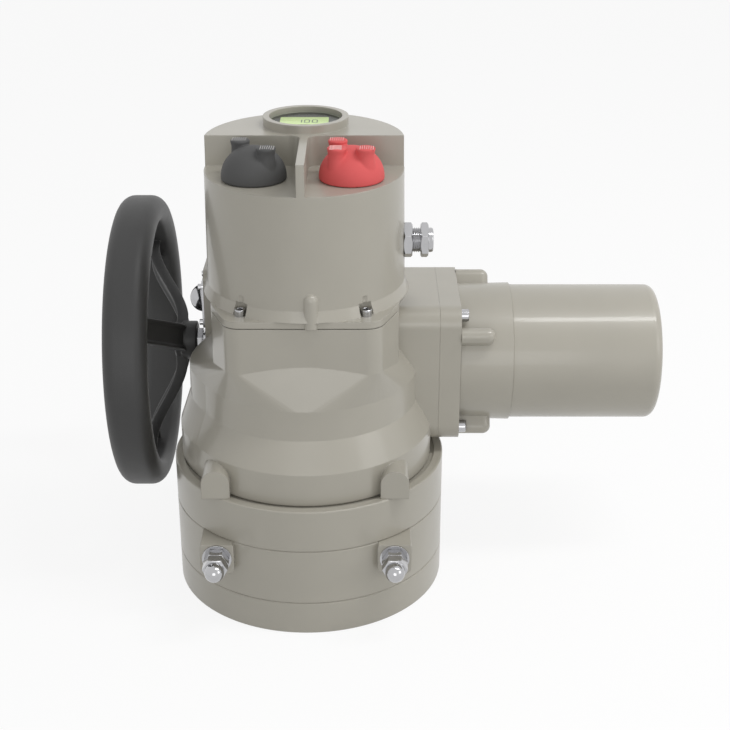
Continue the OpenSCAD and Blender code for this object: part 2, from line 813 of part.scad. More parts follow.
// Section of the rim, with rounded corners
module rim_section() {
    r = 6;
    mid = [wheel_d / 2 - rim_t / 2, 0];
    half = [rim_t / 2 - r, rim_w / 2 - r];
    polygon([for (c = [[1, 1, 0], [-1, 1, 90], [-1, -1, 180], [1, -1, 270]], a = [0:22.5:90])
        mid + [c[0] * half[0], c[1] * half[1]] + polar(r, c[2] + a)]);
}

// One spoke, from the hub out to the rim, dished towards the rim's middle
module spoke() {
    out = wheel_d / 2 - rim_t + 2;
    bend = wheel_d / 5;
    rise = rim_reach - spoke_t / 2;
    rotate([90, 0, 0]) linear_extrude(spoke_w, center = true)
        polygon([
            [8, 0], [hub_d / 2 + 4, 0], [bend, rise * 0.45], [out - 14, rise], [out, rise],
            [out, rise + spoke_t], [out - 18, rise + spoke_t],
            [bend - 4, rise * 0.45 + spoke_t], [8, spoke_t]
        ]);
}

rim_reach = rim_x + hub_x - hub_l;
spoke_t = 9;
spoke_w = 24;

module handwheel() {
    color("#3c3c3c") translate([hub_x, hand_y, drive_z]) rotate([0, -90, 0]) difference() {
        union() {
            cylinder(d = hub_d, h = hub_l + 6);
            translate([0, 0, rim_reach + hub_l]) rotate_extrude() rim_section();
            for (i = [0:spoke_n - 1])
                rotate([0, 0, spoke_turn - 90 + i * 360 / spoke_n]) translate([0, 0, hub_l]) spoke();
        }
        translate([0, 0, -1]) cylinder(d = hand_d, h = 80);
    }
}

// Castellated nut between the hub and the housing
module handwheel_nut() {
    color("silver") along_x(hub_x, hand_y, drive_z) difference() {
        union() {
            cylinder(d = 16, h = nut_x0 - hub_x);
            hex(18, 5);
        }
        translate([0, 0, -1]) cylinder(d = hand_d, h = 20);
        for (i = [0:2]) rotate([0, 0, i * 60 + 30]) translate([-10, -1.5, 6]) cube([20, 3, 10]);
    }
}

module motor_adapter() {
    color("#9b968c") along_x(boss_x, worm_y, drive_z) difference() {
        rotate([0, 0, 90]) rounded_block(adapter_w, adapter_w, adapter_t, adapter_r);
        translate([0, 0, -1]) cylinder(d = coupling_d + 8, h = adapter_t + 2);
        for (sy = [-1, 1], sz = [-1, 1])
            translate([sz * flange_bolt_z, sy * flange_bolt_y, -1])
                cylinder(d = adapter_screw_d + 2 * hole_play, h = adapter_t + 2);
    }
}

module adapter_screws() {
    color("silver") for (sy = [-1, 1], sz = [-1, 1])
        along_x(motor_x, worm_y + sy * flange_bolt_y, drive_z + sz * flange_bolt_z)
            cap_screw(adapter_screw_d, adapter_t + 12);
}

module motor_bell() {
    bell_r = barrel_d / 2 + 1.6;
    color("#9b968c") along_x(motor_x, worm_y, drive_z) difference() {
        union() {
            cylinder(r1 = bell_r - 1, r2 = bell_r, h = bell_l);
            for (i = [0:3]) rotate([0, 0, 90 + lug_turn + i * 90]) bell_lug();
        }
        // room for the heads of the adapter screws
        for (sy = [-1, 1], sz = [-1, 1])
            translate([sz * flange_bolt_z, sy * flange_bolt_y, -1])
                cylinder(d = 1.6 * adapter_screw_d + 2 * hole_play, h = adapter_screw_d + 1.5);
        translate([0, 0, -1]) cylinder(d = coupling_d + 8, h = 14);
        translate([0, 0, 10]) cylinder(d = 70, h = 12);
        translate([0, 0, -1]) cylinder(d = motor_shaft_d + 3, h = 80);
        translate([0, 0, front_bearing_x - motor_x]) cylinder(d = motor_bearing_d, h = 60);
        translate([0, 0, front_bearing_x - motor_x + motor_bearing_w]) cylinder(d = 84, h = 60);
    }
}

// Rounded lug along the bell
module bell_lug() {
    straight = bell_lug_l - bell_lug_r;
    root = 14;
    translate([bell_lug_at, 0, 0]) {
        cylinder(r = bell_lug_r, h = straight);
        translate([0, 0, straight]) sphere(r = bell_lug_r);
        translate([-root, -bell_lug_r, 0]) cube([root, 2 * bell_lug_r, straight]);
        translate([-root, 0, straight]) rotate([0, 90, 0]) cylinder(r = bell_lug_r, h = root);
    }
}

module motor_barrel() {
    r = barrel_d / 2;
    round_r = 7;
    color("#9b968c") along_x(barrel_x, worm_y, drive_z) difference() {
        rotate_extrude() {
            square([r, barrel_l - round_r]);
            square([r - round_r, barrel_l]);
            translate([r - round_r, barrel_l - round_r]) circle(r = round_r, $fn = 48);
        }
        translate([0, 0, -1]) cylinder(r = r - barrel_wall, h = barrel_l - end_wall - motor_bearing_w);
        translate([0, 0, 2]) cylinder(d = motor_bearing_d, h = barrel_l - end_wall - 2);
    }
}

module motor_stator() {
    color("#8a4b2a") along_x(stator_x, worm_y, drive_z) difference() {
        cylinder(r = barrel_d / 2 - barrel_wall, h = stator_l);
        translate([0, 0, -1]) cylinder(d = rotor_d + 1.2, h = stator_l + 2);
        around(12, rotor_d / 2 + 6, 15) translate([0, 0, -1]) cylinder(d = 6, h = stator_l + 2);
    }
}

module motor_rotor() {
    color("#8a8d90") {
        along_x(shaft_split_x, worm_y, drive_z)
            cylinder(d = motor_shaft_d, h = rear_bearing_x + motor_bearing_w - shaft_split_x);
        along_x(stator_x, worm_y, drive_z) cylinder(d = rotor_d, h = stator_l);
    }
}

module motor_bearings() {
    color("#c9ccd0") for (x = [front_bearing_x, rear_bearing_x])
        along_x(x, worm_y, drive_z) bearing(motor_bearing_d, motor_shaft_d + 2 * run_fit, motor_bearing_w);
}

module cover_shell() {
    translate([0, 0, z_foot]) cylinder(d1 = cover_foot_d, d2 = cover_d, h = cover_top - z_foot);
    // fillet between the wall and the foot
    translate([0, 0, z_foot + foot_h - 0.1])
        cylinder(d1 = cover_foot_d + 2 * flare, d2 = cover_foot_d - 1, h = 3 * flare);
    translate([0, 0, z_foot]) neck_plan(foot_h);
    // bezel
    translate([0, bezel_y, cover_top - 1]) cylinder(d = bezel_d, h = bezel_h + 1);
    // locating boss at the front
    translate([rib_x, rib_r - cover_foot_d / 2 - 3.2, z_foot]) {
        cylinder(r = rib_r, h = rib_h - rib_r);
        translate([0, 0, rib_h - rib_r]) sphere(r = rib_r);
    }
}

module cover() {
    color("#9b968c") difference() {
        cover_shell();
        cover_inside();
        // control shelf, either side of the web
        for (s = [-1, 1])
            translate([s * (web_t + cover_d) / 2, shelf_y - cover_d / 2, shelf_z])
                rounded_block(cover_d, cover_d, cover_top - shelf_z + 1, shelf_r);
        cover_pockets();
        translate([0, bezel_y, cover_top - top_wall - 1])
            cylinder(d = window_d - 6, h = top_wall + bezel_h + 2);
        translate([0, bezel_y, glass_z]) cylinder(d = window_d, h = bezel_h + 1);
        along_x(cover_in_r - 4, 0, gland_z) cylinder(d = gland_bore, h = 20);
        // flat seat for the gland
        along_x(gland_x, 0, gland_z) cylinder(d = gland_seat_d, h = 20);
    }
    color("#9b968c") for (s = [-1, 1])
        translate([s * knob_x, -knob_y, shelf_z - 1]) cylinder(d = post_d, h = knob_h - 6);
}

module cover_inside() {
    difference() {
        translate([0, 0, z_foot - 1]) cylinder(r = cover_in_r, h = shelf_z - z_foot - cover_wall + 1);
        for (sx = [-1, 1], sy = [-1, 1])
            translate([sx * screw_x, sy * screw_y, z_foot - 1])
                cylinder(r = pocket_r + 3.5, h = foot_h + pocket_h + 5);
    }
    translate([0, 0, shelf_z - 20]) intersection() {
        cylinder(r = cover_in_r, h = cover_top - top_wall - shelf_z + 20);
        translate([-80, shelf_y + cover_wall, -1]) cube([160, 80, 60]);
    }
}

module cover_pockets() {
    for (sx = [-1, 1], sy = [-1, 1]) translate([sx * screw_x, sy * screw_y, 0]) {
        translate([0, 0, z_foot + foot_h]) cylinder(r = pocket_r, h = pocket_h);
        translate([0, 0, z_foot - 1]) cylinder(d = cover_screw_d + 2 * slip, h = 20);
    }
}

module cover_gasket() {
    color("#202020") translate([0, 0, neck_top]) difference() {
        neck_plan(gasket_t, gasket_inset);
        translate([0, 0, -1]) cylinder(r = cover_in_r - 1, h = 4);
        for (sx = [-1, 1], sy = [-1, 1])
            translate([sx * screw_x, sy * screw_y, -1]) cylinder(d = cover_screw_d + 2 * slip, h = 4);
    }
}

module cover_screws() {
    color("silver") for (sx = [-1, 1], sy = [-1, 1])
        translate([sx * screw_x, sy * screw_y, z_foot + foot_h])
            cap_screw(cover_screw_d, foot_h + gasket_t + 12);
}

module window_glass() {
    color("#dfe8e4") translate([0, bezel_y, glass_z]) cylinder(d = window_d - 2 * run_fit, h = glass_t);
}

module display_module() {
    base_t = 4;
    color("#cfe3a0") translate([0, bezel_y, cover_top - top_wall - base_t]) {
        rounded_block(56, 44, base_t, 3);
        translate([0, 0, base_t])
            rounded_block(screen_x, screen_y, glass_z - cover_top + top_wall - joint_gap, 1);
    }
}

board_z = 280;
neck_floor_z = 203;

module control_board() {
    color("#1f5a34") translate([0, 6, board_z]) rounded_block(92, 84, 1.6, 6);
}

module board_posts() {
    color("silver") for (sx = [-1, 1], y = [-28, 40])
        translate([sx * 38, y, neck_floor_z]) cylinder(d = 6, h = board_z - neck_floor_z);
}

module terminal_block() {
    color("#2b2b2b") translate([0, 24, board_z - 18]) difference() {
        translate([-36, -7, 0]) cube([72, 14, 18]);
        for (i = [0:7]) translate([-31.5 + i * 9, 0, -1]) cylinder(d = 4, h = 8, $fn = 24);
    }
}

// Domed knob with upright finger lobes at the given angles
module knob(angles) {
    r = knob_d / 2;
    lobe_r = 6.5;
    lobe_top = knob_h + 2;
    difference() {
        union() {
            rotate_extrude() intersection() {
                circle(r = knob_h);
                square([r, knob_h]);
            }
            for (a = angles) rotate([0, 0, a]) translate([r - lobe_r - 1.3, 0, 0]) {
                cylinder(r = lobe_r, h = lobe_top - 1);
                translate([0, 0, lobe_top - 1]) cylinder(r1 = lobe_r, r2 = lobe_r - 1, h = 1);
            }
        }
        translate([0, 0, -1]) cylinder(d = post_d + 2 * run_fit, h = knob_h - 4);
    }
}

module selector_knob() {
    color("#353535") translate([-knob_x, -knob_y, shelf_z + joint_gap]) knob([133, 313]);
}

module control_knob() {
    color("#c8504e") translate([knob_x, -knob_y, shelf_z + joint_gap]) knob([133, 225, 313]);
}

gland_z = 276.3;
gland_bore = 16;
gland_seat_d = 29;
gland_x = cover_d / 2;

module gland_body() {
    color("silver") along_x(gland_x, 0, gland_z) difference() {
        union() {
            hex(23.5, 6.8);
            translate([0, 0, -cover_wall - 4]) cylinder(d = gland_bore, h = cover_wall + 12);
            translate([0, 0, 6]) cylinder(d = 18.6, h = 6.6);
        }
        translate([0, 0, -20]) cylinder(d = 10, h = 40);
    }
}

module gland_nut() {
    color("silver") along_x(gland_x + 12.6, 0, gland_z) difference() {
        union() {
            hex(23.5, 6);
            translate([0, 0, 5]) cylinder(d = 18.2, h = 4.6);
        }
        translate([0, 0, -1]) cylinder(d = 12, h = 20);
    }
}

module gland_seal() {
    color("#202020") along_x(gland_x + 12.6, 0, gland_z) tube(12, 8, 8);
}

dome_y = 62;
dome_z = 206;
plate_bolt = 15;

module blanking_plate() {
    color("silver") along_x(left_x - 1.6, dome_y, dome_z) difference() {
        rounded_block(39, 39, 1.6, 4);
        translate([0, 0, -1]) cylinder(d = 18, h = 4);
        for (sy = [-1, 1], sz = [-1, 1])
            translate([sz * plate_bolt, sy * plate_bolt, -1]) cylinder(d = 3.4, h = 4);
    }
}

module plate_screws() {
    color("silver") for (sy = [-1, 1], sz = [-1, 1])
        along_x(left_x - 1.6, dome_y + sy * plate_bolt, dome_z + sz * plate_bolt)
            mirror([0, 0, 1]) cap_screw(3, 8);
}

module dome_plug() {
    color("silver") along_x(left_x - 1.6, dome_y, dome_z) {
        mirror([0, 0, 1]) difference() {
            sphere(d = 22.6);
            translate([0, 0, -20]) cylinder(d = 60, h = 20);
        }
        cylinder(d = 17.8, h = 12);
    }
}

base_flange();
stop_housing();
ring_gear();
gear_housing();
clamp_screws();
drive_sleeve();
drive_insert();
lower_bush();
upper_bush();
thrust_washer();
stop_screws();
stop_lock_nuts();
stop_washers();
stop_cap_nuts();
planet_gear_1();
planet_gear_2();
planet_gear_3();
planet_pins();
planet_bushes();
carrier_cap();
sun_shaft();
worm_wheel();
wheel_nut();
bearing_plate();
sun_bearings();
position_disc();
worm_shaft();
worm_bearings();
hand_gear();
coupling();
hand_shaft();
hand_bush();
hand_seal();
handwheel();
handwheel_nut();
motor_adapter();
adapter_screws();
motor_bell();
motor_barrel();
motor_stator();
motor_rotor();
motor_bearings();
cover();
cover_gasket();
cover_screws();
window_glass();
display_module();
control_board();
board_posts();
terminal_block();
selector_knob();
control_knob();
gland_body();
gland_nut();
gland_seal();
blanking_plate();
plate_screws();
dome_plug();
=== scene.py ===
"""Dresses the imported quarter-turn valve actuator: castings, handwheel, knobs, display and fasteners.

The castings and the drive train keep their CAD meshes and get a finish each. Pieces that need rounder
forms than the CAD model has replace their nodes: the handwheel, the knobs, the screws, the nuts and the
gland. Every length is in metres, in the frame of the CAD model, and every piece's place is in its mesh.
"""

import json
import logging
import math
from dataclasses import dataclass, field
from enum import Enum
from typing import ClassVar, Iterable, Sequence, Union

import bmesh
import bpy
from mathutils import Matrix, Vector

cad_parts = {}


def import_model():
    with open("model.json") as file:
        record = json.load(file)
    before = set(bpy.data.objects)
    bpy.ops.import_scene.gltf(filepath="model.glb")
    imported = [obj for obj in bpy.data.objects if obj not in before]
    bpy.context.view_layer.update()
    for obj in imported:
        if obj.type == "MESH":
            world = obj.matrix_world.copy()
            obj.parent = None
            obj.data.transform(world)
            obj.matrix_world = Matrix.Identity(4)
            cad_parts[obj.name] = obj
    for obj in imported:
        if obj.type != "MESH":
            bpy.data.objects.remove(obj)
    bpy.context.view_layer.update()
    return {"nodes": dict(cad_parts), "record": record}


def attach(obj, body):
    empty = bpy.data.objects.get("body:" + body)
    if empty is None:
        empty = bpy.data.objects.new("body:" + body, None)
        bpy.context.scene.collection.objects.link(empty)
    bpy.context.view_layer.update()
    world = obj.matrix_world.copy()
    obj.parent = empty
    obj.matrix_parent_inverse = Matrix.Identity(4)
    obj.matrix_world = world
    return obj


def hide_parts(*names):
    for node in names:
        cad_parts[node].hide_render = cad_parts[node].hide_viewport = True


log = logging.getLogger("actuator")

MM = 0.001
# A turned outline starts this far from its axis, so that its pole closes when doubles are merged.
ON_AXIS = 0.0001 * MM
MERGE_DISTANCE = 1e-7
CHAMFER = math.radians(30)
# Middle of a quarter round, as a share of its radius from each of the two faces.
ARC_MIDDLE = 0.3
NO_STEP = (0.0, 0.0, 0.0)
WHITE = (1.0, 1.0, 1.0)

Point = tuple[float, float, float]
Colour = tuple[float, float, float]
Value = Union[float, int, bool, str, tuple, "Socket", bpy.types.ID]


class Axis(Enum):
    """Direction that a turned piece points in."""

    LEFT = (-1.0, 0.0, 0.0)
    RIGHT = (1.0, 0.0, 0.0)
    FRONT = (0.0, -1.0, 0.0)

    def matrix(self) -> Matrix:
        """Rotation that carries +Z onto this direction."""
        return Vector(self.value).to_track_quat("Z", "Y").to_matrix().to_4x4()


@dataclass
class Socket:
    """A node's output, on which arithmetic adds Math nodes.

    Attributes:
        graph: the tree that it is in.
        link: the output itself.
    """

    graph: "Graph"
    link: bpy.types.NodeSocket

    def _math(self, operation: str, first: Value, second: Value) -> "Socket":
        """Adds one Math node.

        Args:
            operation: name of the Math node's operation.
            first: first operand.
            second: second operand.

        Returns:
            The result's socket.
        """
        return self.graph.node("ShaderNodeMath", {"operation": operation}, {0: first, 1: second})

    def __add__(self, other: Value) -> "Socket":
        """Sum."""
        return self._math("ADD", self, other)

    def __radd__(self, other: Value) -> "Socket":
        """Sum with the number first."""
        return self._math("ADD", other, self)

    def __sub__(self, other: Value) -> "Socket":
        """Difference."""
        return self._math("SUBTRACT", self, other)

    def __rsub__(self, other: Value) -> "Socket":
        """Difference with the number first."""
        return self._math("SUBTRACT", other, self)

    def __mul__(self, other: Value) -> "Socket":
        """Product."""
        return self._math("MULTIPLY", self, other)

    def __rmul__(self, other: Value) -> "Socket":
        """Product with the number first."""
        return self._math("MULTIPLY", other, self)

    def __truediv__(self, other: Value) -> "Socket":
        """Quotient."""
        return self._math("DIVIDE", self, other)

    def __rtruediv__(self, other: Value) -> "Socket":
        """Quotient with the number first."""
        return self._math("DIVIDE", other, self)

    def above(self, limit: Value) -> "Socket":
        """1 where the value is over the limit, else 0."""
        return self._math("GREATER_THAN", self, limit)


@dataclass
class Graph:
    """A node tree that is filled from expressions.

    Attributes:
        tree: Blender's node tree.
    """

    tree: bpy.types.NodeTree

    def node(
        self, kind: str, settings: dict | None = None, inputs: dict | None = None, out: int | str = 0
    ) -> Socket:
        """Adds a node.

        Args:
            kind: the node's type name.
            settings: properties set first; "stops" fills a colour ramp.
            inputs: values or sockets by input name or index.
            out: name or index of the output that is handed back.

        Returns:
            That output.
        """
        made = self.tree.nodes.new(kind)
        for key, value in (settings or {}).items():
            if key == "stops":
                self._fill_ramp(made.color_ramp, value)
            else:
                setattr(made, key, value)
        for key, value in (inputs or {}).items():
            if isinstance(value, Socket):
                self.tree.links.new(value.link, made.inputs[key])
            elif made.inputs[key].type == "RGBA":
                made.inputs[key].default_value = (*value, 1.0)
            else:
                made.inputs[key].default_value = value
        return Socket(self, made.outputs[out]) if made.outputs else Socket(self, None)

    @staticmethod
    def _fill_ramp(ramp: bpy.types.ColorRamp, stops: Sequence[tuple[float, Colour]]) -> None:
        """Sets a colour ramp's stops.

        Args:
            ramp: the ramp.
            stops: places from 0 to 1 with their colours.
        """
        while len(ramp.elements) > 1:
            ramp.elements.remove(ramp.elements[-1])
        for index, (place, colour) in enumerate(stops):
            element = ramp.elements[0] if index == 0 else ramp.elements.new(place)
            element.position = place
            element.color = (*colour, 1.0)


def linear(red: int, green: int, blue: int) -> Colour:
    """Turns an 8-bit display colour into the linear one that a shader takes.

    Args:
        red: red from 0 to 255.
        green: green from 0 to 255.
        blue: blue from 0 to 255.

    Returns:
        The linear colour.
    """
    shares = (red / 255, green / 255, blue / 255)
    return tuple(c / 12.92 if c <= 0.04045 else ((c + 0.055) / 1.055) ** 2.4 for c in shares)


@dataclass(frozen=True)
class Finish:
    """A surface finish: colour with mottling, gloss with variation and a fine grain.

    Attributes:
        name: the material's name.
        colour: linear base colour.
        metallic: 1 for bare metal.
        roughness: roughness in the middle of its spread.
        mottle: share by which the colour goes lighter and darker.
        mottle_scale: patches of colour in each metre.
        gloss_spread: how far the roughness strays.
        grain_scale: grains in each metre.
        grain_depth: height of the grain, in metres.
        edge: radius to which edges look rounded, or 0.
        coat: weight of the clear coat.
        coat_roughness: its roughness.
        specular: level of the reflection on a surface that isn't metal.
        stretch: scale of the pattern along each axis.
    """

    CLOUD_SPAN: ClassVar[tuple[float, float]] = (0.32, 0.68)
    SMEAR_SHARE: ClassVar[float] = 3.3
    NOISE_ROUGHNESS: ClassVar[float] = 0.55
    GRAIN_DETAIL: ClassVar[float] = 2.0
    EDGE_SAMPLES: ClassVar[int] = 8

    name: str
    colour: Colour
    metallic: float = 0.0
    roughness: float = 0.4
    mottle: float = 0.06
    mottle_scale: float = 14.0
    gloss_spread: float = 0.08
    grain_scale: float = 900.0
    grain_depth: float = 0.00004
    edge: float = 0.0
    coat: float = 0.0
    coat_roughness: float = 0.1
    specular: float = 0.5
    stretch: Point = (1.0, 1.0, 1.0)

    def material(self) -> bpy.types.Material:
        """Builds the material once and hands it back after that.

        Returns:
            The material.
        """
        found = bpy.data.materials.get(self.name)
        if found:
            return found
        made = bpy.data.materials.new(self.name)
        made.use_nodes = True
        made.node_tree.nodes.clear()
        graph = Graph(made.node_tree)
        place = graph.node("ShaderNodeTexCoord", out="Object")
        place = graph.node("ShaderNodeMapping", None, {"Vector": place, "Scale": self.stretch})
        shader = self.shade(graph, place)
        graph.node("ShaderNodeOutputMaterial", None, {"Surface": shader})
        return made

    def shade(self, graph: Graph, place: Socket) -> Socket:
        """Adds the finish's shader.

        Args:
            graph: the material's tree.
            place: object coordinates, stretched along the grain.

        Returns:
            The shader's socket.
        """
        return self.principled(graph, self.tint(graph, place), self.gloss(graph, place), self.relief(graph, place))

    def principled(self, graph: Graph, colour: Value, gloss: Value, normal: Socket) -> Socket:
        """Adds the Principled shader.

        Args:
            graph: the material's tree.
            colour: base colour.
            gloss: roughness.
            normal: surface normal.

        Returns:
            The shader's socket.
        """
        return graph.node(
            "ShaderNodeBsdfPrincipled",
            None,
            {
                "Base Color": colour,
                "Metallic": self.metallic,
                "Roughness": gloss,
                "Coat Weight": self.coat,
                "Coat Roughness": self.coat_roughness,
                "Specular IOR Level": self.specular,
                "Normal": normal,
            },
        )

    def noise(self, graph: Graph, place: Socket, scale: float, detail: float = 3.0) -> Socket:
        """Adds a noise of about 0.5 on average.

        Args:
            graph: the material's tree.
            place: coordinates.
            scale: cells in each metre.
            detail: octaves.

        Returns:
            The noise's value.
        """
        return graph.node(
            "ShaderNodeTexNoise",
            None,
            {"Vector": place, "Scale": scale, "Detail": detail, "Roughness": self.NOISE_ROUGHNESS},
        )

    def tint(self, graph: Graph, place: Socket) -> Socket:
        """Adds the base colour, mottled a little lighter and darker.

        Args:
            graph: the material's tree.
            place: coordinates.

        Returns:
            The colour.
        """
        low = tuple(c * (1 - self.mottle) for c in self.colour)
        high = tuple(min(1.0, c * (1 + self.mottle)) for c in self.colour)
        cloud = self.noise(graph, place, self.mottle_scale)
        return graph.node("ShaderNodeValToRGB", {"stops": list(zip(self.CLOUD_SPAN, (low, high)))}, {"Fac": cloud})

    def gloss(self, graph: Graph, place: Socket) -> Socket:
        """Roughness, a little uneven."""
        smear = self.noise(graph, place, self.mottle_scale * self.SMEAR_SHARE)
        return (smear - 0.5) * self.gloss_spread + self.roughness

    def relief(self, graph: Graph, place: Socket) -> Socket:
        """Adds the fine grain, over softened edges where the finish has them.

        Args:
            graph: the material's tree.
            place: coordinates.

        Returns:
            The normal.
        """
        grain = self.noise(graph, place, self.grain_scale, self.GRAIN_DETAIL)
        inputs: dict = {"Height": grain, "Distance": self.grain_depth, "Strength": 1.0}
        if self.edge > 0:
            inputs["Normal"] = graph.node("ShaderNodeBevel", {"samples": self.EDGE_SAMPLES}, {"Radius": self.edge})
        return graph.node("ShaderNodeBump", None, inputs)


@dataclass(frozen=True)
class ClearWindow(Finish):
    """Flat clear window: mostly see-through with a sharp reflection.

    Attributes:
        ior: refractive index of the pane.
        glare: share of the reflection that its anti-glare coat leaves.
    """

    ior: float = 1.45
    glare: float = 0.3

    def shade(self, graph: Graph, place: Socket) -> Socket:
        """Adds a see-through shader with a Fresnel reflection on its outer faces.

        Args:
            graph: the material's tree.
            place: object coordinates.

        Returns:
            The shader's socket.
        """
        clear = graph.node("ShaderNodeBsdfTransparent", None, {"Color": self.colour})
        gloss = self.gloss(graph, place)
        shine = graph.node(
            "ShaderNodeBsdfPrincipled",
            None,
            {"Base Color": WHITE, "Metallic": 1.0, "Roughness": gloss, "Normal": self.relief(graph, place)},
        )
        # Without this, the pane's far side mirrors the surround and hides the display.
        inside = graph.node("ShaderNodeNewGeometry", out="Backfacing")
        share = graph.node("ShaderNodeFresnel", None, {"IOR": self.ior}) * (1.0 - inside) * self.glare
        return graph.node("ShaderNodeMixShader", None, {0: share, 1: clear, 2: shine})


@dataclass(frozen=True)
class PaintedGlowPanel(Finish):
    """Display panel with a fine dot raster and painted emission that lightens it.

    Attributes:
        pitch: distance of the dots.
        dip: share by which every other dot is darker.
        painted_glow: strength of the painted emission that lightens the panel.
    """

    pitch: float = 0.6 * MM
    dip: float = 0.04
    painted_glow: float = 0.25

    def shade(self, graph: Graph, place: Socket) -> Socket:
        """Adds the panel's shader, with painted emission in its own colour that lightens it.

        Args:
            graph: the material's tree.
            place: object coordinates.

        Returns:
            The shader's socket.
        """
        raster = graph.node(
            "ShaderNodeTexChecker",
            None,
            {
                "Vector": place,
                "Scale": 1 / self.pitch,
                "Color1": tuple(c * (1 - self.dip) for c in self.colour),
                "Color2": self.colour,
            },
        )
        # Painted light: the emission lightens the panel in its own colour.
        return graph.node(
            "ShaderNodeBsdfPrincipled",
            None,
            {
                "Base Color": raster,
                "Roughness": self.gloss(graph, place),
                "Emission Color": raster,
                "Emission Strength": self.painted_glow,
                "Normal": self.relief(graph, place),
            },
        )


PAINT = Finish("cast_paint", linear(170, 166, 155), roughness=0.36, mottle=0.035, grain_scale=420.0,
               grain_depth=0.00002, edge=0.0012, coat=0.3)
PLATED = Finish("bright_plate", (0.46, 0.46, 0.47), metallic=1.0, roughness=0.14, mottle=0.05, mottle_scale=60.0,
                grain_scale=700.0, grain_depth=0.00001, edge=0.0003)
STEEL = Finish("turned_steel", (0.48, 0.49, 0.50), metallic=1.0, roughness=0.32, mottle=0.08, mottle_scale=50.0,
               grain_scale=300.0, grain_depth=0.00002, edge=0.0003, stretch=(1.0, 1.0, 8.0))
GEAR_STEEL = Finish("hobbed_steel", (0.40, 0.41, 0.42), metallic=1.0, roughness=0.38, mottle=0.10,
                    mottle_scale=40.0, grain_scale=260.0, edge=0.0003)
DARK_STEEL = Finish("dark_washer", linear(70, 70, 70), metallic=0.8, roughness=0.45, mottle_scale=80.0)
IRON = Finish("machined_iron", (0.30, 0.31, 0.32), metallic=0.8, roughness=0.5, mottle=0.12, mottle_scale=60.0)
BRONZE = Finish("bearing_bronze", (0.62, 0.44, 0.22), metallic=1.0, roughness=0.34, mottle=0.10, mottle_scale=70.0)
COPPER = Finish("wound_copper", (0.55, 0.26, 0.13), metallic=0.8, roughness=0.42, mottle=0.15, mottle_scale=160.0)
PAPER = Finish("sealing_paper", linear(112, 108, 98), roughness=0.7, mottle_scale=80.0)
RUBBER = Finish("black_rubber", linear(34, 34, 34), roughness=0.7, grain_scale=1500.0, mottle_scale=80.0)
WHEEL_BLACK = Finish("grained_black", linear(54, 54, 54), roughness=0.5, mottle=0.05, mottle_scale=30.0,
                     grain_scale=1300.0, grain_depth=0.00008, edge=0.0008)
KNOB_BLACK = Finish("knob_black", linear(38, 38, 39), roughness=0.36, mottle=0.04, grain_scale=1600.0,
                    grain_depth=0.00005, specular=0.3)
KNOB_RED = Finish("knob_red", linear(206, 62, 64), roughness=0.42, mottle=0.04, grain_scale=1600.0,
                  grain_depth=0.00005)
# The knurled lobe tops are coloured paler than their knobs.
PALE_TOP = Finish("pale_knurl", linear(176, 174, 172), roughness=0.4, mottle=0.25, mottle_scale=700.0)
PALE_RED_TOP = Finish("pale_red_knurl", linear(232, 170, 168), roughness=0.4, mottle=0.2, mottle_scale=700.0)
WINDOW = ClearWindow("clear_window", (0.97, 0.99, 0.97), roughness=0.05, gloss_spread=0.02, grain_depth=0.000002)
PANEL = PaintedGlowPanel("painted_glow_panel", linear(206, 222, 158), roughness=0.3)
INK = Finish("display_ink", linear(120, 138, 112), roughness=0.4, mottle_scale=200.0)
# Dark of the display module, and of the dark sheet of painted shade round the panel.
SURROUND = Finish("dark_surround", linear(30, 31, 28), roughness=0.4, mottle_scale=90.0)
BOARD = Finish("circuit_board", linear(28, 88, 50), roughness=0.35, mottle=0.1, mottle_scale=120.0)
MOULDED = Finish("moulded_black", linear(40, 40, 40), roughness=0.5, mottle_scale=90.0)

SLOT_FINISHES: dict[str, Finish] = {
    "paint": PAINT,
    "steel": STEEL,
    "chrome": PLATED,
    "bronze": BRONZE,
    "gear_steel": GEAR_STEEL,
    "iron": IRON,
    "rubber": RUBBER,
    "washer": DARK_STEEL,
    "wheel_black": WHEEL_BLACK,
    "knob_black": KNOB_BLACK,
    "knob_red": KNOB_RED,
    "glass": WINDOW,
    "lcd": SURROUND,
    "board": BOARD,
    "terminal": MOULDED,
    "copper": COPPER,
}
NODE_FINISHES: dict[str, Finish] = {"cover_gasket": PAPER, "stop_washers": PLATED}


def mesh_object(name: str, mesh: bpy.types.Mesh) -> bpy.types.Object:
    """Links a mesh into the scene as an object at the origin.

    Args:
        name: the object's name.
        mesh: its mesh.

    Returns:
        The object.
    """
    made = bpy.data.objects.new(name, mesh)
    bpy.context.scene.collection.objects.link(made)
    return made


def loft(name: str, rings: Sequence[Sequence[Point]], caps: bool = True) -> bpy.types.Object:
    """Skins closed rings of equal length one after another.

    Args:
        name: the object's name.
        rings: rings of points, each in the same sense.
        caps: closes the first and the last ring.

    Returns:
        The object, with its faces outwards.
    """
    work = bmesh.new()
    rows = [[work.verts.new(p) for p in ring] for ring in rings]
    count = len(rows[0])
    for low, high in zip(rows, rows[1:]):
        for i in range(count):
            j = (i + 1) % count
            work.faces.new((low[i], low[j], high[j], high[i]))
    if caps:
        work.faces.new(list(reversed(rows[0])))
        work.faces.new(rows[-1])
    return bmesh_object(name, work)


def bmesh_object(name: str, work: bmesh.types.BMesh) -> bpy.types.Object:
    """Turns a bmesh into an object after merging doubles and facing it outwards.

    Args:
        name: the object's name.
        work: the bmesh, which is freed.

    Returns:
        The object.
    """
    bmesh.ops.remove_doubles(work, verts=work.verts, dist=MERGE_DISTANCE)
    bmesh.ops.recalc_face_normals(work, faces=work.faces)
    mesh = bpy.data.meshes.new(name)
    work.to_mesh(mesh)
    work.free()
    return mesh_object(name, mesh)


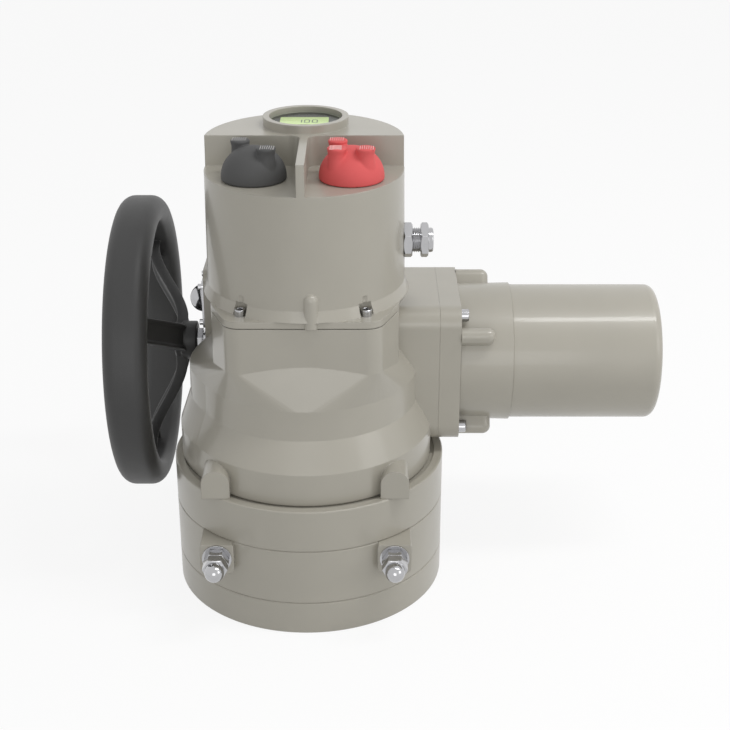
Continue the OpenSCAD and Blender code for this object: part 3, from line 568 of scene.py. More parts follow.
def turned(name: str, outline: Sequence[tuple[float, float]], segments: int = 72) -> bpy.types.Object:
    """Revolves an outline of (radius, height) about +Z.

    Args:
        name: the object's name.
        outline: the outline from one end to the other; a bore closes it as a ring.
        segments: steps round the axis.

    Returns:
        The object.
    """
    rings = [circle(radius, z, segments) for radius, z in outline]
    return loft(name, rings, caps=outline[0] != outline[-1])


def steps(count: int) -> list[float]:
    """Equal angles of a full turn, in radians."""
    return [2 * math.pi * i / count for i in range(count)]


def circle(radius: float, z: float, count: int) -> list[Point]:
    """Ring of points about +Z at a height."""
    return [(radius * math.cos(t), radius * math.sin(t), z) for t in steps(count)]


def off_flat(angle: float) -> float:
    """Angle from the middle of the nearest side of a hexagon, in radians."""
    return (angle + math.pi / 6) % (math.pi / 3) - math.pi / 6


def hexagon(
    name: str, across: float, height: float, bore: float = 0.0, both: bool = False, base: float = 0.0
) -> bpy.types.Object:
    """Hexagon with its corners turned off, as on a nut.

    Args:
        name: the object's name.
        across: width across the flats.
        height: height along +Z.
        bore: diameter of the hole, if any.
        both: turns the corners off at the lower end too.
        base: height of the lower end.

    Returns:
        The object.
    """
    segments, face_share = 72, 0.97
    flat = across / 2
    # The end face is a circle a little inside the flats; the cone from it cuts the nut's arcs.
    face = flat * face_share
    low, walls_low, walls_high, high = [], [], [], []
    for t in steps(segments):
        radius = flat / math.cos(off_flat(t))
        drop = (radius - face) * math.tan(CHAMFER)
        c, s = math.cos(t), math.sin(t)
        low.append((face * c, face * s, base) if both else (radius * c, radius * s, base))
        walls_low.append((radius * c, radius * s, base + (drop if both else 0.0)))
        walls_high.append((radius * c, radius * s, base + height - drop))
        high.append((face * c, face * s, base + height))
    rings = [low, walls_low, walls_high, high] if both else [low, walls_high, high]
    if bore > 0:
        rings = [circle(bore / 2, base, segments), *rings, circle(bore / 2, base + height, segments)]
        rings.append(rings[0])
    return loft(name, rings, caps=bore <= 0)


def join(name: str, parts: Iterable[bpy.types.Object]) -> bpy.types.Object:
    """Joins objects into one mesh and removes them.

    Args:
        name: the new object's name.
        parts: objects with meshes.

    Returns:
        The joined object.
    """
    work = bmesh.new()
    for part in list(parts):
        held = part.data.copy()
        held.transform(part.matrix_world)
        work.from_mesh(held)
        remove(part)
    mesh = bpy.data.meshes.new(name)
    work.to_mesh(mesh)
    work.free()
    return mesh_object(name, mesh)


def remove(thing: bpy.types.Object) -> None:
    """Takes an object out of the file."""
    bpy.data.objects.remove(thing, do_unlink=True)


def placed(thing: bpy.types.Object, matrix: Matrix) -> bpy.types.Object:
    """Moves an object's mesh and leaves the object at the origin."""
    thing.data.transform(matrix)
    return thing


def baked(thing: bpy.types.Object, name: str) -> bpy.types.Object:
    """Turns an object with modifiers into a plain mesh of the same shape.

    Args:
        thing: the object, which is removed.
        name: the new object's name.

    Returns:
        The plain object.
    """
    bpy.context.view_layer.update()
    graph = bpy.context.evaluated_depsgraph_get()
    mesh = bpy.data.meshes.new_from_object(thing.evaluated_get(graph))
    mesh.name = name
    remove(thing)
    return mesh_object(name, mesh)


def smooth(thing: bpy.types.Object, sharp: float = 32.0) -> bpy.types.Object:
    """Shades an object smooth, with its sharper edges kept.

    Args:
        thing: the object.
        sharp: angle in degrees over which an edge stays sharp.

    Returns:
        The object.
    """
    thing.data.shade_smooth()
    thing.data.set_sharp_from_angle(angle=math.radians(sharp))
    return thing


def dress(
    thing: bpy.types.Object, finish: Finish, body: str, nodes: Sequence[str] = ()
) -> bpy.types.Object:
    """Gives a piece its finish, its body and the nodes that it stands for.

    Args:
        thing: the piece.
        finish: its finish.
        body: body that it rides on.
        nodes: CAD nodes that it replaces.

    Returns:
        The piece.
    """
    thing.data.materials.clear()
    thing.data.materials.append(finish.material())
    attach(thing, body)
    if nodes:
        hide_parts(*nodes)
    thing.data.calc_loop_triangles()
    log.info("%s: %d triangles on %s", thing.name, len(thing.data.loop_triangles), body)
    return thing


@dataclass
class NodesTree:
    """A Geometry Nodes tree with named inputs that ends in a realized, dressed mesh.

    Attributes:
        name: the tree's name.
        graph: the tree as it is filled.
        source: its group input.
    """

    name: str
    graph: Graph = field(init=False)
    source: bpy.types.Node = field(init=False)

    def __post_init__(self) -> None:
        """Starts the tree with its group input."""
        tree = bpy.data.node_groups.new(self.name, "GeometryNodeTree")
        tree.interface.new_socket("Geometry", in_out="INPUT", socket_type="NodeSocketGeometry")
        tree.interface.new_socket("Geometry", in_out="OUTPUT", socket_type="NodeSocketGeometry")
        self.graph = Graph(tree)
        self.source = tree.nodes.new("NodeGroupInput")

    def take(self, name: str, kind: str) -> Socket:
        """Adds a named input.

        Args:
            name: the input's name.
            kind: Float, Int, Vector, Object or Material.

        Returns:
            Its socket.
        """
        self.graph.tree.interface.new_socket(name, in_out="INPUT", socket_type=f"NodeSocket{kind}")
        return Socket(self.graph, self.source.outputs[name])

    def end(self, geometry: Socket) -> None:
        """Realizes the geometry, gives it the material and closes the tree.

        Args:
            geometry: what the tree has made.
        """
        finish = self.take("Finish", "Material")
        real = self.graph.node("GeometryNodeRealizeInstances", None, {"Geometry": geometry})
        dressed = self.graph.node("GeometryNodeSetMaterial", None, {"Geometry": real, "Material": finish})
        self.graph.node("NodeGroupOutput", None, {"Geometry": dressed})

    def run(self, name: str, values: dict[str, Value]) -> bpy.types.Object:
        """Runs the tree on an empty mesh and bakes what it makes.

        Args:
            name: name of the baked object.
            values: values of the named inputs.

        Returns:
            The plain object.
        """
        holder = mesh_object(f"{name}_source", bpy.data.meshes.new(f"{name}_source"))
        modifier = holder.modifiers.new(self.name, "NODES")
        modifier.node_group = self.graph.tree
        identifiers = {
            item.name: item.identifier
            for item in self.graph.tree.interface.items_tree
            if item.item_type == "SOCKET" and item.in_out == "INPUT"
        }
        for key, value in values.items():
            modifier[identifiers[key]] = value
        return baked(holder, name)


def rows_tree() -> NodesTree:
    """Makes the tree that copies a piece onto rows and columns.

    Returns:
        The tree, with inputs Piece, Centre, Columns, Column Step, Rows and Row Step.
    """
    tree = NodesTree("Rows of pieces")
    g = tree.graph
    piece = g.node("GeometryNodeObjectInfo", None, {"Object": tree.take("Piece", "Object")}, out="Geometry")
    centre = tree.take("Centre", "Vector")
    lines = []
    for label in ("Column", "Row"):
        count = tree.take(f"{label}s", "Int")
        step = tree.take(f"{label} Step", "Vector")
        back = g.node("ShaderNodeVectorMath", {"operation": "SCALE"}, {0: step, "Scale": (count - 1) * -0.5})
        lines.append(g.node("GeometryNodeMeshLine", None, {"Count": count, "Start Location": back, "Offset": step}))
    row = g.node("GeometryNodeInstanceOnPoints", None, {"Points": lines[0], "Instance": piece})
    block = g.node("GeometryNodeInstanceOnPoints", None, {"Points": lines[1], "Instance": row})
    tree.end(g.node("GeometryNodeTransform", None, {"Geometry": block, "Translation": centre}))
    return tree


@dataclass(frozen=True)
class Grid:
    """Regular places of a repeated piece.

    Attributes:
        centre: middle of the grid.
        columns: places in a row.
        column_step: way from one to the next.
        rows: number of rows.
        row_step: way from one row to the next.
    """

    centre: Point = NO_STEP
    columns: int = 1
    column_step: Point = NO_STEP
    rows: int = 1
    row_step: Point = NO_STEP

    def copies(self, name: str, piece: bpy.types.Object, finish: Finish) -> bpy.types.Object:
        """Copies a piece to every place.

        Args:
            name: name of the result.
            piece: the prototype, which stays.
            finish: the finish.

        Returns:
            The copies as one mesh.
        """
        values = {
            "Piece": piece,
            "Centre": self.centre,
            "Columns": self.columns,
            "Column Step": self.column_step,
            "Rows": self.rows,
            "Row Step": self.row_step,
            "Finish": finish.material(),
        }
        return rows_tree().run(name, values)


RIM_STEPS = 144
CORNER_STEPS = 7


def wheel_tree() -> NodesTree:
    """Makes the tree of a handwheel about +X: a rim of rounded section, its spokes in a ring and the hub.

    Returns:
        The tree, with inputs for the rim's sizes, the spoke, the hub and the wheel's place.
    """
    tree = NodesTree("Handwheel")
    g = tree.graph
    radius = tree.take("Rim Radius", "Float")
    width = tree.take("Rim Width", "Float")
    depth = tree.take("Rim Depth", "Float")
    inner = tree.take("Inner Corner", "Float")
    outer = tree.take("Outer Corner", "Float")
    offset = tree.take("Rim Offset", "Vector")
    count = tree.take("Spokes", "Int")
    ring = g.node(
        "GeometryNodeCurvePrimitiveCircle", None, {"Resolution": RIM_STEPS, "Radius": radius - depth / 2}
    )
    section = g.node("GeometryNodeCurvePrimitiveQuadrilateral", None, {"Width": depth, "Height": width})
    across = g.node("ShaderNodeSeparateXYZ", None, {0: g.node("GeometryNodeInputPosition")})
    # The section's +X side faces away from the hub once the curve becomes a mesh.
    rounding = inner + (outer - inner) * across.above(0.0)
    section = g.node(
        "GeometryNodeFilletCurve", {"mode": "POLY"}, {"Curve": section, "Radius": rounding, "Count": CORNER_STEPS}
    )
    rim = g.node("GeometryNodeCurveToMesh", None, {"Curve": ring, "Profile Curve": section})
    rim = g.node(
        "GeometryNodeTransform", None, {"Geometry": rim, "Rotation": (0.0, math.pi / 2, 0.0), "Translation": offset}
    )
    spoke = g.node("GeometryNodeObjectInfo", None, {"Object": tree.take("Spoke", "Object")}, out="Geometry")
    points = g.node("GeometryNodeMeshLine", None, {"Count": count, "Offset": NO_STEP})
    turn = g.node("GeometryNodeInputIndex") * (2 * math.pi) / count + tree.take("Turn", "Float")
    turn = g.node("ShaderNodeCombineXYZ", None, {"X": turn})
    turn = g.node("FunctionNodeEulerToRotation", None, {0: turn})
    ring_of = g.node("GeometryNodeInstanceOnPoints", None, {"Points": points, "Instance": spoke, "Rotation": turn})
    hub = g.node("GeometryNodeObjectInfo", None, {"Object": tree.take("Hub", "Object")}, out="Geometry")
    joined = g.node("GeometryNodeJoinGeometry")
    node = joined.link.node
    for part in (rim, ring_of, hub):
        g.tree.links.new(part.link, node.inputs[0])
    place = tree.take("Place", "Vector")
    tree.end(g.node("GeometryNodeTransform", None, {"Geometry": joined, "Translation": place}))
    return tree


@dataclass
class Castings:
    """CAD nodes that keep their shape and get a finish.

    Attributes:
        nodes: the frame's nodes by name.
        record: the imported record.
    """

    nodes: dict[str, bpy.types.Object]
    record: dict

    def dress(self) -> None:
        """Gives each node its own finish, or that of its slot."""
        for row in self.record["subparts"]:
            thing = self.nodes[row["node"]]
            finish = NODE_FINISHES.get(row["node"]) or SLOT_FINISHES[row["material_slot"]]
            thing.data.materials.clear()
            thing.data.materials.append(finish.material())
            log.info("%s: %s", thing.name, finish.name)


@dataclass
class Handwheel:
    """Black moulded handwheel on the left.

    Attributes:
        centre_y: place of its axis.
        centre_z: height of its axis.
        rim_x: middle of the rim.
        hub_x: rear face of the hub.
        radius: outer radius of the rim.
        rim_w: width of the rim along the axis.
        rim_t: thickness of the rim.
        inner_corner: corner radius of the rim's section towards the hub.
        outer_corner: corner radius of the rim's section on the outside.
        turn: angle of the first spoke, in degrees.
        hub_d: diameter of the hub.
        hub_l: length of the hub behind the spokes.
        collar_l: how far the collar goes on through the spokes.
        collar_in: how much smaller the collar's radius is than the hub's.
        bore: hole of the hub.
        round_r: rounding of the hub's edges.
        spokes: number of spokes.
        spoke_w: width of a spoke.
        spoke_t: depth of a spoke's channel section.
        lip: height of the channel's lips.
        root: radius at which a spoke starts inside the hub.
        dish_start: radius at which a spoke starts to lean out.
        dish_end: distance from the spoke's end at which it has reached the rim.
        lean: share of the lean that is straight; the rest eases in and out.
        spoke_edge: bevel of a spoke's edges.
    """

    RINGS: ClassVar[int] = 24
    LIP_OUT: ClassVar[float] = 0.8
    LIP_IN: ClassVar[float] = 0.66
    WAIST: ClassVar[float] = 0.86
    ROOT_FLARE: ClassVar[float] = 0.08
    RIM_FLARE: ClassVar[float] = 0.34
    FLARE_START: ClassVar[float] = 0.72
    SINK: ClassVar[float] = 0.6
    BEVEL_FROM: ClassVar[float] = 25.0

    centre_y: float = 65 * MM
    centre_z: float = 168 * MM
    rim_x: float = -134 * MM
    hub_x: float = -92.0 * MM
    radius: float = 117 * MM
    rim_w: float = 33 * MM
    rim_t: float = 21 * MM
    inner_corner: float = 7.5 * MM
    outer_corner: float = 10.3 * MM
    turn: float = 29.0
    hub_d: float = 31 * MM
    hub_l: float = 11.6 * MM
    collar_l: float = 6 * MM
    collar_in: float = 1.2 * MM
    bore: float = 12 * MM
    round_r: float = 1.2 * MM
    spokes: int = 3
    spoke_w: float = 22 * MM
    spoke_t: float = 9 * MM
    lip: float = 2.2 * MM
    root: float = 8 * MM
    dish_start: float = 18 * MM
    dish_end: float = 16 * MM
    lean: float = 0.35
    spoke_edge: float = 0.7 * MM

    def hub(self) -> bpy.types.Object:
        """Turned hub with a collar through the spokes.

        Returns:
            The hub about +X, from its rear face towards -X.
        """
        r, ease = self.hub_d / 2, self.round_r
        collar = r - self.collar_in
        depth = self.hub_l + self.collar_l
        outline = [
            (self.bore / 2, 0.0),
            (r - ease, 0.0),
            (r - ARC_MIDDLE * ease, ARC_MIDDLE * ease),
            (r, ease),
            (r, self.hub_l),
            (collar, self.hub_l + self.collar_in),
            (collar, depth - ease),
            (collar - ease, depth),
            (self.bore / 2, depth),
            (self.bore / 2, 0.0),
        ]
        return placed(turned("hub_source", outline), Axis.LEFT.matrix())

    def spoke(self) -> bpy.types.Object:
        """One spoke along -Y, a channel with raised lips that dishes out to the rim.

        Returns:
            The spoke, with the hub's rear face at x = 0.
        """
        start = -self.hub_l - 1 * MM
        reach = self.rim_x - self.hub_x - start
        end = self.radius - self.rim_t * self.SINK
        dish = end - self.dish_end - self.dish_start
        rings = []
        for i in range(self.RINGS + 1):
            t = i / self.RINGS
            radial = self.root + (end - self.root) * t
            straight = max(0.0, min(1.0, (radial - self.dish_start) / dish))
            eased = straight * straight * (3 - 2 * straight)
            along = start + reach * (self.lean * straight + (1 - self.lean) * eased)
            flare = self.RIM_FLARE * max(0.0, t - self.FLARE_START) / (1 - self.FLARE_START)
            half = self.spoke_w / 2 * (self.WAIST + flare + self.ROOT_FLARE * (1 - t))
            rings.append([(along + x, -radial, z * half) for x, z in self.section()])
        return loft("spoke_source", rings)

    def section(self) -> list[tuple[float, float]]:
        """Channel section: depth along X, and width as a share of the half width.

        Returns:
            The closed outline.
        """
        t, floor = self.spoke_t / 2, self.spoke_t / 2 - self.lip
        side = [(t, -1.0), (t, -self.LIP_OUT), (floor, -self.LIP_IN)]
        face = side + [(depth, -across) for depth, across in reversed(side)]
        return face + [(-depth, -across) for depth, across in face]

    def build(self) -> bpy.types.Object:
        """Builds and dresses the wheel.

        Returns:
            The wheel.
        """
        spoke, hub = self.spoke(), self.hub()
        bevel = spoke.modifiers.new("edges", "BEVEL")
        bevel.width, bevel.segments, bevel.angle_limit = self.spoke_edge, 2, math.radians(self.BEVEL_FROM)
        spoke = baked(spoke, "spoke")
        wheel = wheel_tree().run(
            "handwheel_body",
            {
                "Rim Radius": self.radius,
                "Rim Width": self.rim_w,
                "Rim Depth": self.rim_t,
                "Inner Corner": self.inner_corner,
                "Outer Corner": self.outer_corner,
                "Rim Offset": (self.rim_x - self.hub_x, 0.0, 0.0),
                "Spokes": self.spokes,
                "Turn": -math.radians(self.turn),
                "Spoke": spoke,
                "Hub": hub,
                "Place": (self.hub_x, self.centre_y, self.centre_z),
                "Finish": WHEEL_BLACK.material(),
            },
        )
        remove(spoke)
        remove(hub)
        return dress(smooth(wheel), WHEEL_BLACK, "hand", ["handwheel"])


@dataclass
class Knob:
    """Domed control knob with upright finger lobes.

    Attributes:
        name: stem of the pieces' names, which is the CAD node's name too.
        x: place of its axis.
        body: body that it rides on.
        slot: the record's material slot; not used.
        finish: finish of the body.
        top_finish: finish of the knurled tops, paler than the body's.
        lobes: directions of the lobes, in degrees.
        y: place of its axis.
        base_z: height of the shelf's face under it.
        radius: radius of the dome.
        dome_h: height of the dome.
        skirt: height of the upright skirt under the dome.
        foot: rounding of the skirt's foot.
        lobe_r: radius of a lobe at its top.
        lobe_at: distance of a lobe's top from the axis.
        lobe_h: height of a lobe's top.
        lobe_in: how much nearer to the axis the lobe itself stands.
        ridges: ridges on each lobe.
        ridge_pitch: distance between them.
        ridge_l: length of a ridge.
        ridge_h: height of a ridge.
        ridge_w: width of a ridge's foot.
        ridge_top: width of a ridge's top.
        ridge_sink: how deep the ridges stand in the lobe.
        voxel: grid size of the blend between dome and lobes.
    """

    DOME_STEPS: ClassVar[int] = 16
    DOME_ARC: ClassVar[float] = 89.9
    LOBE_SIDE: ClassVar[tuple[tuple[float, float], ...]] = (
        (1.18, 3 * MM), (1.02, 12 * MM), (0.9, 18 * MM), (0.9, 21 * MM),
    )
    LOBE_TOP: ClassVar[tuple[tuple[float, float], ...]] = ((1.0, 1.4 * MM), (1.0, 0.7 * MM), (0.88, 0.0))
    SOFTENING: ClassVar[int] = 5

    name: str
    x: float
    body: str
    slot: str
    finish: Finish
    top_finish: Finish
    lobes: tuple[float, ...]
    y: float = -27.3 * MM
    base_z: float = 331.6 * MM
    radius: float = 23.3 * MM
    dome_h: float = 23.4 * MM
    skirt: float = 2.2 * MM
    foot: float = 0.6 * MM
    lobe_r: float = 7.0 * MM
    lobe_at: float = 15.5 * MM
    lobe_h: float = 25.4 * MM
    lobe_in: float = 1.2 * MM
    ridges: int = 7
    ridge_pitch: float = 1.5 * MM
    ridge_l: float = 8.4 * MM
    ridge_h: float = 0.55 * MM
    ridge_w: float = 0.9 * MM
    ridge_top: float = 0.24 * MM
    ridge_sink: float = 0.25 * MM
    voxel: float = 0.55 * MM

    def dome(self) -> bpy.types.Object:
        """Bowl-shaped body with a short upright skirt.

        Returns:
            The dome about +Z, standing on z = 0.
        """
        outline = [(ON_AXIS, 0.0), (self.radius - self.foot, 0.0), (self.radius, self.foot)]
        for i in range(self.DOME_STEPS + 1):
            t = math.radians(i / self.DOME_STEPS * self.DOME_ARC)
            outline.append((self.radius * math.cos(t), self.skirt + (self.dome_h - self.skirt) * math.sin(t)))
        return turned("dome_source", outline)

    def lobe(self, angle: float) -> bpy.types.Object:
        """One finger lobe with a waist, which flares into the dome and at its top.

        Args:
            angle: direction of the lobe about +Z, in degrees.

        Returns:
            The lobe.
        """
        side = [(self.lobe_r * share, height) for share, height in self.LOBE_SIDE]
        side += [(self.lobe_r * share, self.lobe_h - below) for share, below in self.LOBE_TOP]
        outline = [(ON_AXIS, side[0][1]), *side, (ON_AXIS, side[-1][1])]
        t, out = math.radians(angle), self.lobe_at - self.lobe_in
        at = Vector((out * math.cos(t), out * math.sin(t), 0.0))
        return placed(turned("lobe_source", outline, 48), Matrix.Translation(at))

    def build(self) -> None:
        """Builds the body and the knurled lobe tops, and dresses both."""
        parts = [self.dome(), *(self.lobe(angle) for angle in self.lobes)]
        body = join(f"{self.name}_source", parts)
        remesh = body.modifiers.new("blend", "REMESH")
        remesh.mode, remesh.voxel_size, remesh.use_smooth_shade = "VOXEL", self.voxel, True
        soften = body.modifiers.new("soften", "SMOOTH")
        soften.factor, soften.iterations = 0.5, self.SOFTENING
        body = baked(body, f"{self.name}_body")
        placed(body, Matrix.Translation((self.x, self.y, self.base_z)))
        body.data.shade_smooth()
        dress(body, self.finish, self.body, [self.name])
        self.knurls()

    def knurls(self) -> None:
        """Small ridges across the top of each lobe."""
        foot, top = self.ridge_w / 2, self.ridge_top / 2
        rings = [
            [(-foot, y, 0.0), (foot, y, 0.0), (top, y, self.ridge_h), (-top, y, self.ridge_h)]
            for y in (-self.ridge_l / 2, self.ridge_l / 2)
        ]
        ridge = loft("ridge_source", rings)
        row = Grid(columns=self.ridges, column_step=(self.ridge_pitch, 0.0, 0.0))
        patches = []
        for angle in self.lobes:
            t = math.radians(angle)
            at = (
                self.x + self.lobe_at * math.cos(t),
                self.y + self.lobe_at * math.sin(t),
                self.base_z + self.lobe_h - self.ridge_sink,
            )
            across = Matrix.Rotation(t + math.pi / 4, 4, "Z")
            patches.append(placed(row.copies("patch", ridge, self.top_finish), Matrix.Translation(at) @ across))
        remove(ridge)
        dress(join(f"{self.name}_knurls", patches), self.top_finish, self.body)


@dataclass(frozen=True)
class SocketScrew:
    """Socket head screw, head up from z = 0 and a short stem down.

    Attributes:
        d: diameter of the thread.
        stem: length of the stem.
        head: radius of the head in thread diameters.
        key: half the width of the key's hole in thread diameters.
        ease: bevel of the head in thread diameters.
        mouth: how much wider the hole is at its mouth.
        lead: depth of the mouth in thread diameters.
        floor: height of the hole's floor in thread diameters.
    """

    POINTS: ClassVar[int] = 48

    d: float
    stem: float
    head: float = 0.8
    key: float = 0.4
    ease: float = 0.08
    mouth: float = 1.1
    lead: float = 0.06
    floor: float = 0.45

    def key_ring(self, z: float, grow: float = 1.0) -> list[Point]:
        """Ring of the key's hexagonal hole.

        Args:
            z: height.
            grow: factor on its size.

        Returns:
            The ring.
        """
        ring = []
        for t in steps(self.POINTS):
            radius = self.key * self.d / math.cos(off_flat(t)) * grow
            ring.append((radius * math.cos(t), radius * math.sin(t), z))
        return ring

    def build(self) -> bpy.types.Object:
        """Builds the screw.

        Returns:
            The screw.
        """
        d, head, ease = self.d, self.head * self.d, self.ease * self.d
        outline = ((d / 2, -self.stem), (d / 2, 0.0), (head, 0.0), (head, d - ease), (head - ease, d))
        rings = [circle(radius, z, self.POINTS) for radius, z in outline]
        rings += [self.key_ring(d, self.mouth), self.key_ring(d - self.lead * d), self.key_ring(d * self.floor)]
        return loft("screw_source", rings)


@dataclass
class Fasteners:
    """Nuts and screws, each kind copied over its pattern.

    Attributes:
        stop_x: distance of the travel stops from the middle.
        stop_z: height of the travel stops.
        pad_y: face of the pads that the stops come out of.
        across: width of the nuts across their flats.
        nut_h: height of the nuts.
        lock_bore: hole of the lock nuts.
        lock_at: distance of the lock nuts from the pads.
        cap_at: distance of the cap nuts from the pads.
        cap_r: radius of the caps.
        cap_neck: length of the caps' straight part above the hexagon.
        cover_screw: screw of the cover.
        cover_grid: places of the cover's screws.
        adapter_screw: screw of the motor's adapter plate.
        adapter_grid: places of its screws.
        plate_screw: screw of the blanking plate.
        plate_grid: places of its screws.
    """

    stop_x: float = 66 * MM
    stop_z: float = 60 * MM
    pad_y: float = -95 * MM
    across: float = 16.4 * MM
    nut_h: float = 8 * MM
    lock_bore: float = 12.2 * MM
    lock_at: float = 1.5 * MM
    cap_at: float = 9.5 * MM
    cap_r: float = 7.2 * MM
    cap_neck: float = 2.9 * MM
    cover_screw: SocketScrew = SocketScrew(5 * MM, 4 * MM)
    cover_grid: Grid = Grid((0.0, 0.0, 240.4 * MM), 2, (90 * MM, 0.0, 0.0), 2, (0.0, 120.6 * MM, 0.0))
    adapter_screw: SocketScrew = SocketScrew(6 * MM, 6 * MM)
    adapter_grid: Grid = Grid((117 * MM, 43 * MM, 168 * MM), 2, (0.0, 82 * MM, 0.0), 2, (0.0, 0.0, 94 * MM))
    plate_screw: SocketScrew = SocketScrew(3 * MM, 3 * MM)
    plate_grid: Grid = Grid((-84.6 * MM, 62 * MM, 206 * MM), 2, (0.0, 30 * MM, 0.0), 2, (0.0, 0.0, 30 * MM))

    def pattern(self, node: str, piece: bpy.types.Object, grid: Grid) -> None:
        """Copies a piece over a grid and dresses the result as plated.

        Args:
            node: CAD node that the result replaces.
            piece: the prototype, which is removed.
            grid: its places.
        """
        made = grid.copies(f"{node}_set", piece, PLATED)
        remove(piece)
        dress(smooth(made), PLATED, "housing", [node])

    def stops(self, out: float) -> Grid:
        """Places on the two travel stops at a distance from their pads."""
        return Grid((0.0, self.pad_y - out, self.stop_z), 2, (2 * self.stop_x, 0.0, 0.0))

    def stop_nuts(self) -> None:
        """Lock nuts and domed cap nuts of the two travel stops."""
        turn = Axis.FRONT.matrix() @ Matrix.Rotation(math.pi / 6, 4, "Z")
        lock = hexagon("lock_source", self.across, self.nut_h, self.lock_bore, both=True)
        self.pattern("stop_lock_nuts", placed(lock, turn), self.stops(self.lock_at))
        r, neck = self.cap_r, self.nut_h + self.cap_neck
        outline = [(ON_AXIS, 1 * MM), (r, 1 * MM), (r, neck)]
        outline += [(r * math.cos(math.radians(a)), neck + r * math.sin(math.radians(a))) for a in range(6, 90, 6)]
        outline.append((ON_AXIS, neck + r))
        nut = hexagon("cap_source", self.across, self.nut_h, both=True)
        cap = join("cap_joined", [nut, turned("dome_source", outline)])
        self.pattern("stop_cap_nuts", placed(cap, turn), self.stops(self.cap_at))

    def build(self) -> None:
        """Builds the nuts and the three kinds of screws."""
        self.stop_nuts()
        self.pattern("cover_screws", self.cover_screw.build(), self.cover_grid)
        self.pattern("adapter_screws", placed(self.adapter_screw.build(), Axis.RIGHT.matrix()), self.adapter_grid)
        self.pattern("plate_screws", placed(self.plate_screw.build(), Axis.LEFT.matrix()), self.plate_grid)


@dataclass
class CableGland:
    """Plated cable gland on the cover's right.

    Attributes:
        wall_x: face of the cover that it stands on.
        z: height of its axis.
        across: width of both hexagons across their flats.
        body_h: height of the body's hexagon.
        neck_d: diameter of the thread.
        pitch: pitch of the thread.
        thread_h: depth of the thread.
        root: how far the neck goes into the wall.
        hidden: how far the thread goes on inside the nut.
        bore: hole of the body.
        nut_at: distance of the nut from the wall.
        nut_h: height of the nut's hexagon.
        nut_bore: hole of the nut.
        collar_r: radius of the nut's collar.
        collar_h: height of the collar.
    """

    wall_x: float = 72.35 * MM
    z: float = 276.3 * MM
    across: float = 23.5 * MM
    body_h: float = 6.8 * MM
    neck_d: float = 18.6 * MM
    pitch: float = 1.5 * MM
    thread_h: float = 0.9 * MM
    root: float = 4 * MM
    hidden: float = 0.4 * MM
    bore: float = 10 * MM
    nut_at: float = 12.6 * MM
    nut_h: float = 6 * MM
    nut_bore: float = 12 * MM
    collar_r: float = 9.1 * MM
    collar_h: float = 3.6 * MM

    def neck(self) -> bpy.types.Object:
        """Threaded neck, with its thread as rings.

        Returns:
            The neck about +Z, with the wall at z = 0.
        """
        r, z = self.neck_d / 2, self.body_h
        outline = [(self.bore / 2, -self.root), (r, -self.root), (r, z)]
        while z < self.nut_at + self.hidden:
            outline += [(r, z), (r - self.thread_h, z + self.pitch / 2), (r, z + self.pitch)]
            z += self.pitch
        outline += [(self.bore / 2, z), (self.bore / 2, -self.root)]
        return turned("neck_source", outline, 60)

    def collar(self) -> bpy.types.Object:
        """Rounded collar on the nut's front.

        Returns:
            The collar about +Z, with the wall at z = 0.
        """
        inner, r, end = self.nut_bore / 2, self.collar_r, self.nut_at + self.nut_h
        top = end + self.collar_h
        outline = [
            (inner, end - 1 * MM),
            (r, end - 1 * MM),
            (r, top - 1.4 * MM),
            (r - 0.5 * MM, top - 0.4 * MM),
            (r - 1.6 * MM, top),
            (inner, top),
            (inner, end - 1 * MM),
        ]
        return turned("collar_source", outline, 60)

    def build(self) -> None:
        """Builds and dresses the body with its thread, and the clamping nut."""
        turn = Matrix.Translation((self.wall_x, 0.0, self.z)) @ Axis.RIGHT.matrix()
        body = hexagon("gland_hex_source", self.across, self.body_h, self.bore, both=True)
        nut = hexagon("nut_source", self.across, self.nut_h, self.nut_bore, both=True, base=self.nut_at)
        for node, parts in (("gland_body", [body, self.neck()]), ("gland_nut", [nut, self.collar()])):
            made = placed(join(f"{node}_set", parts), turn)
            dress(smooth(made), PLATED, "housing", [node])


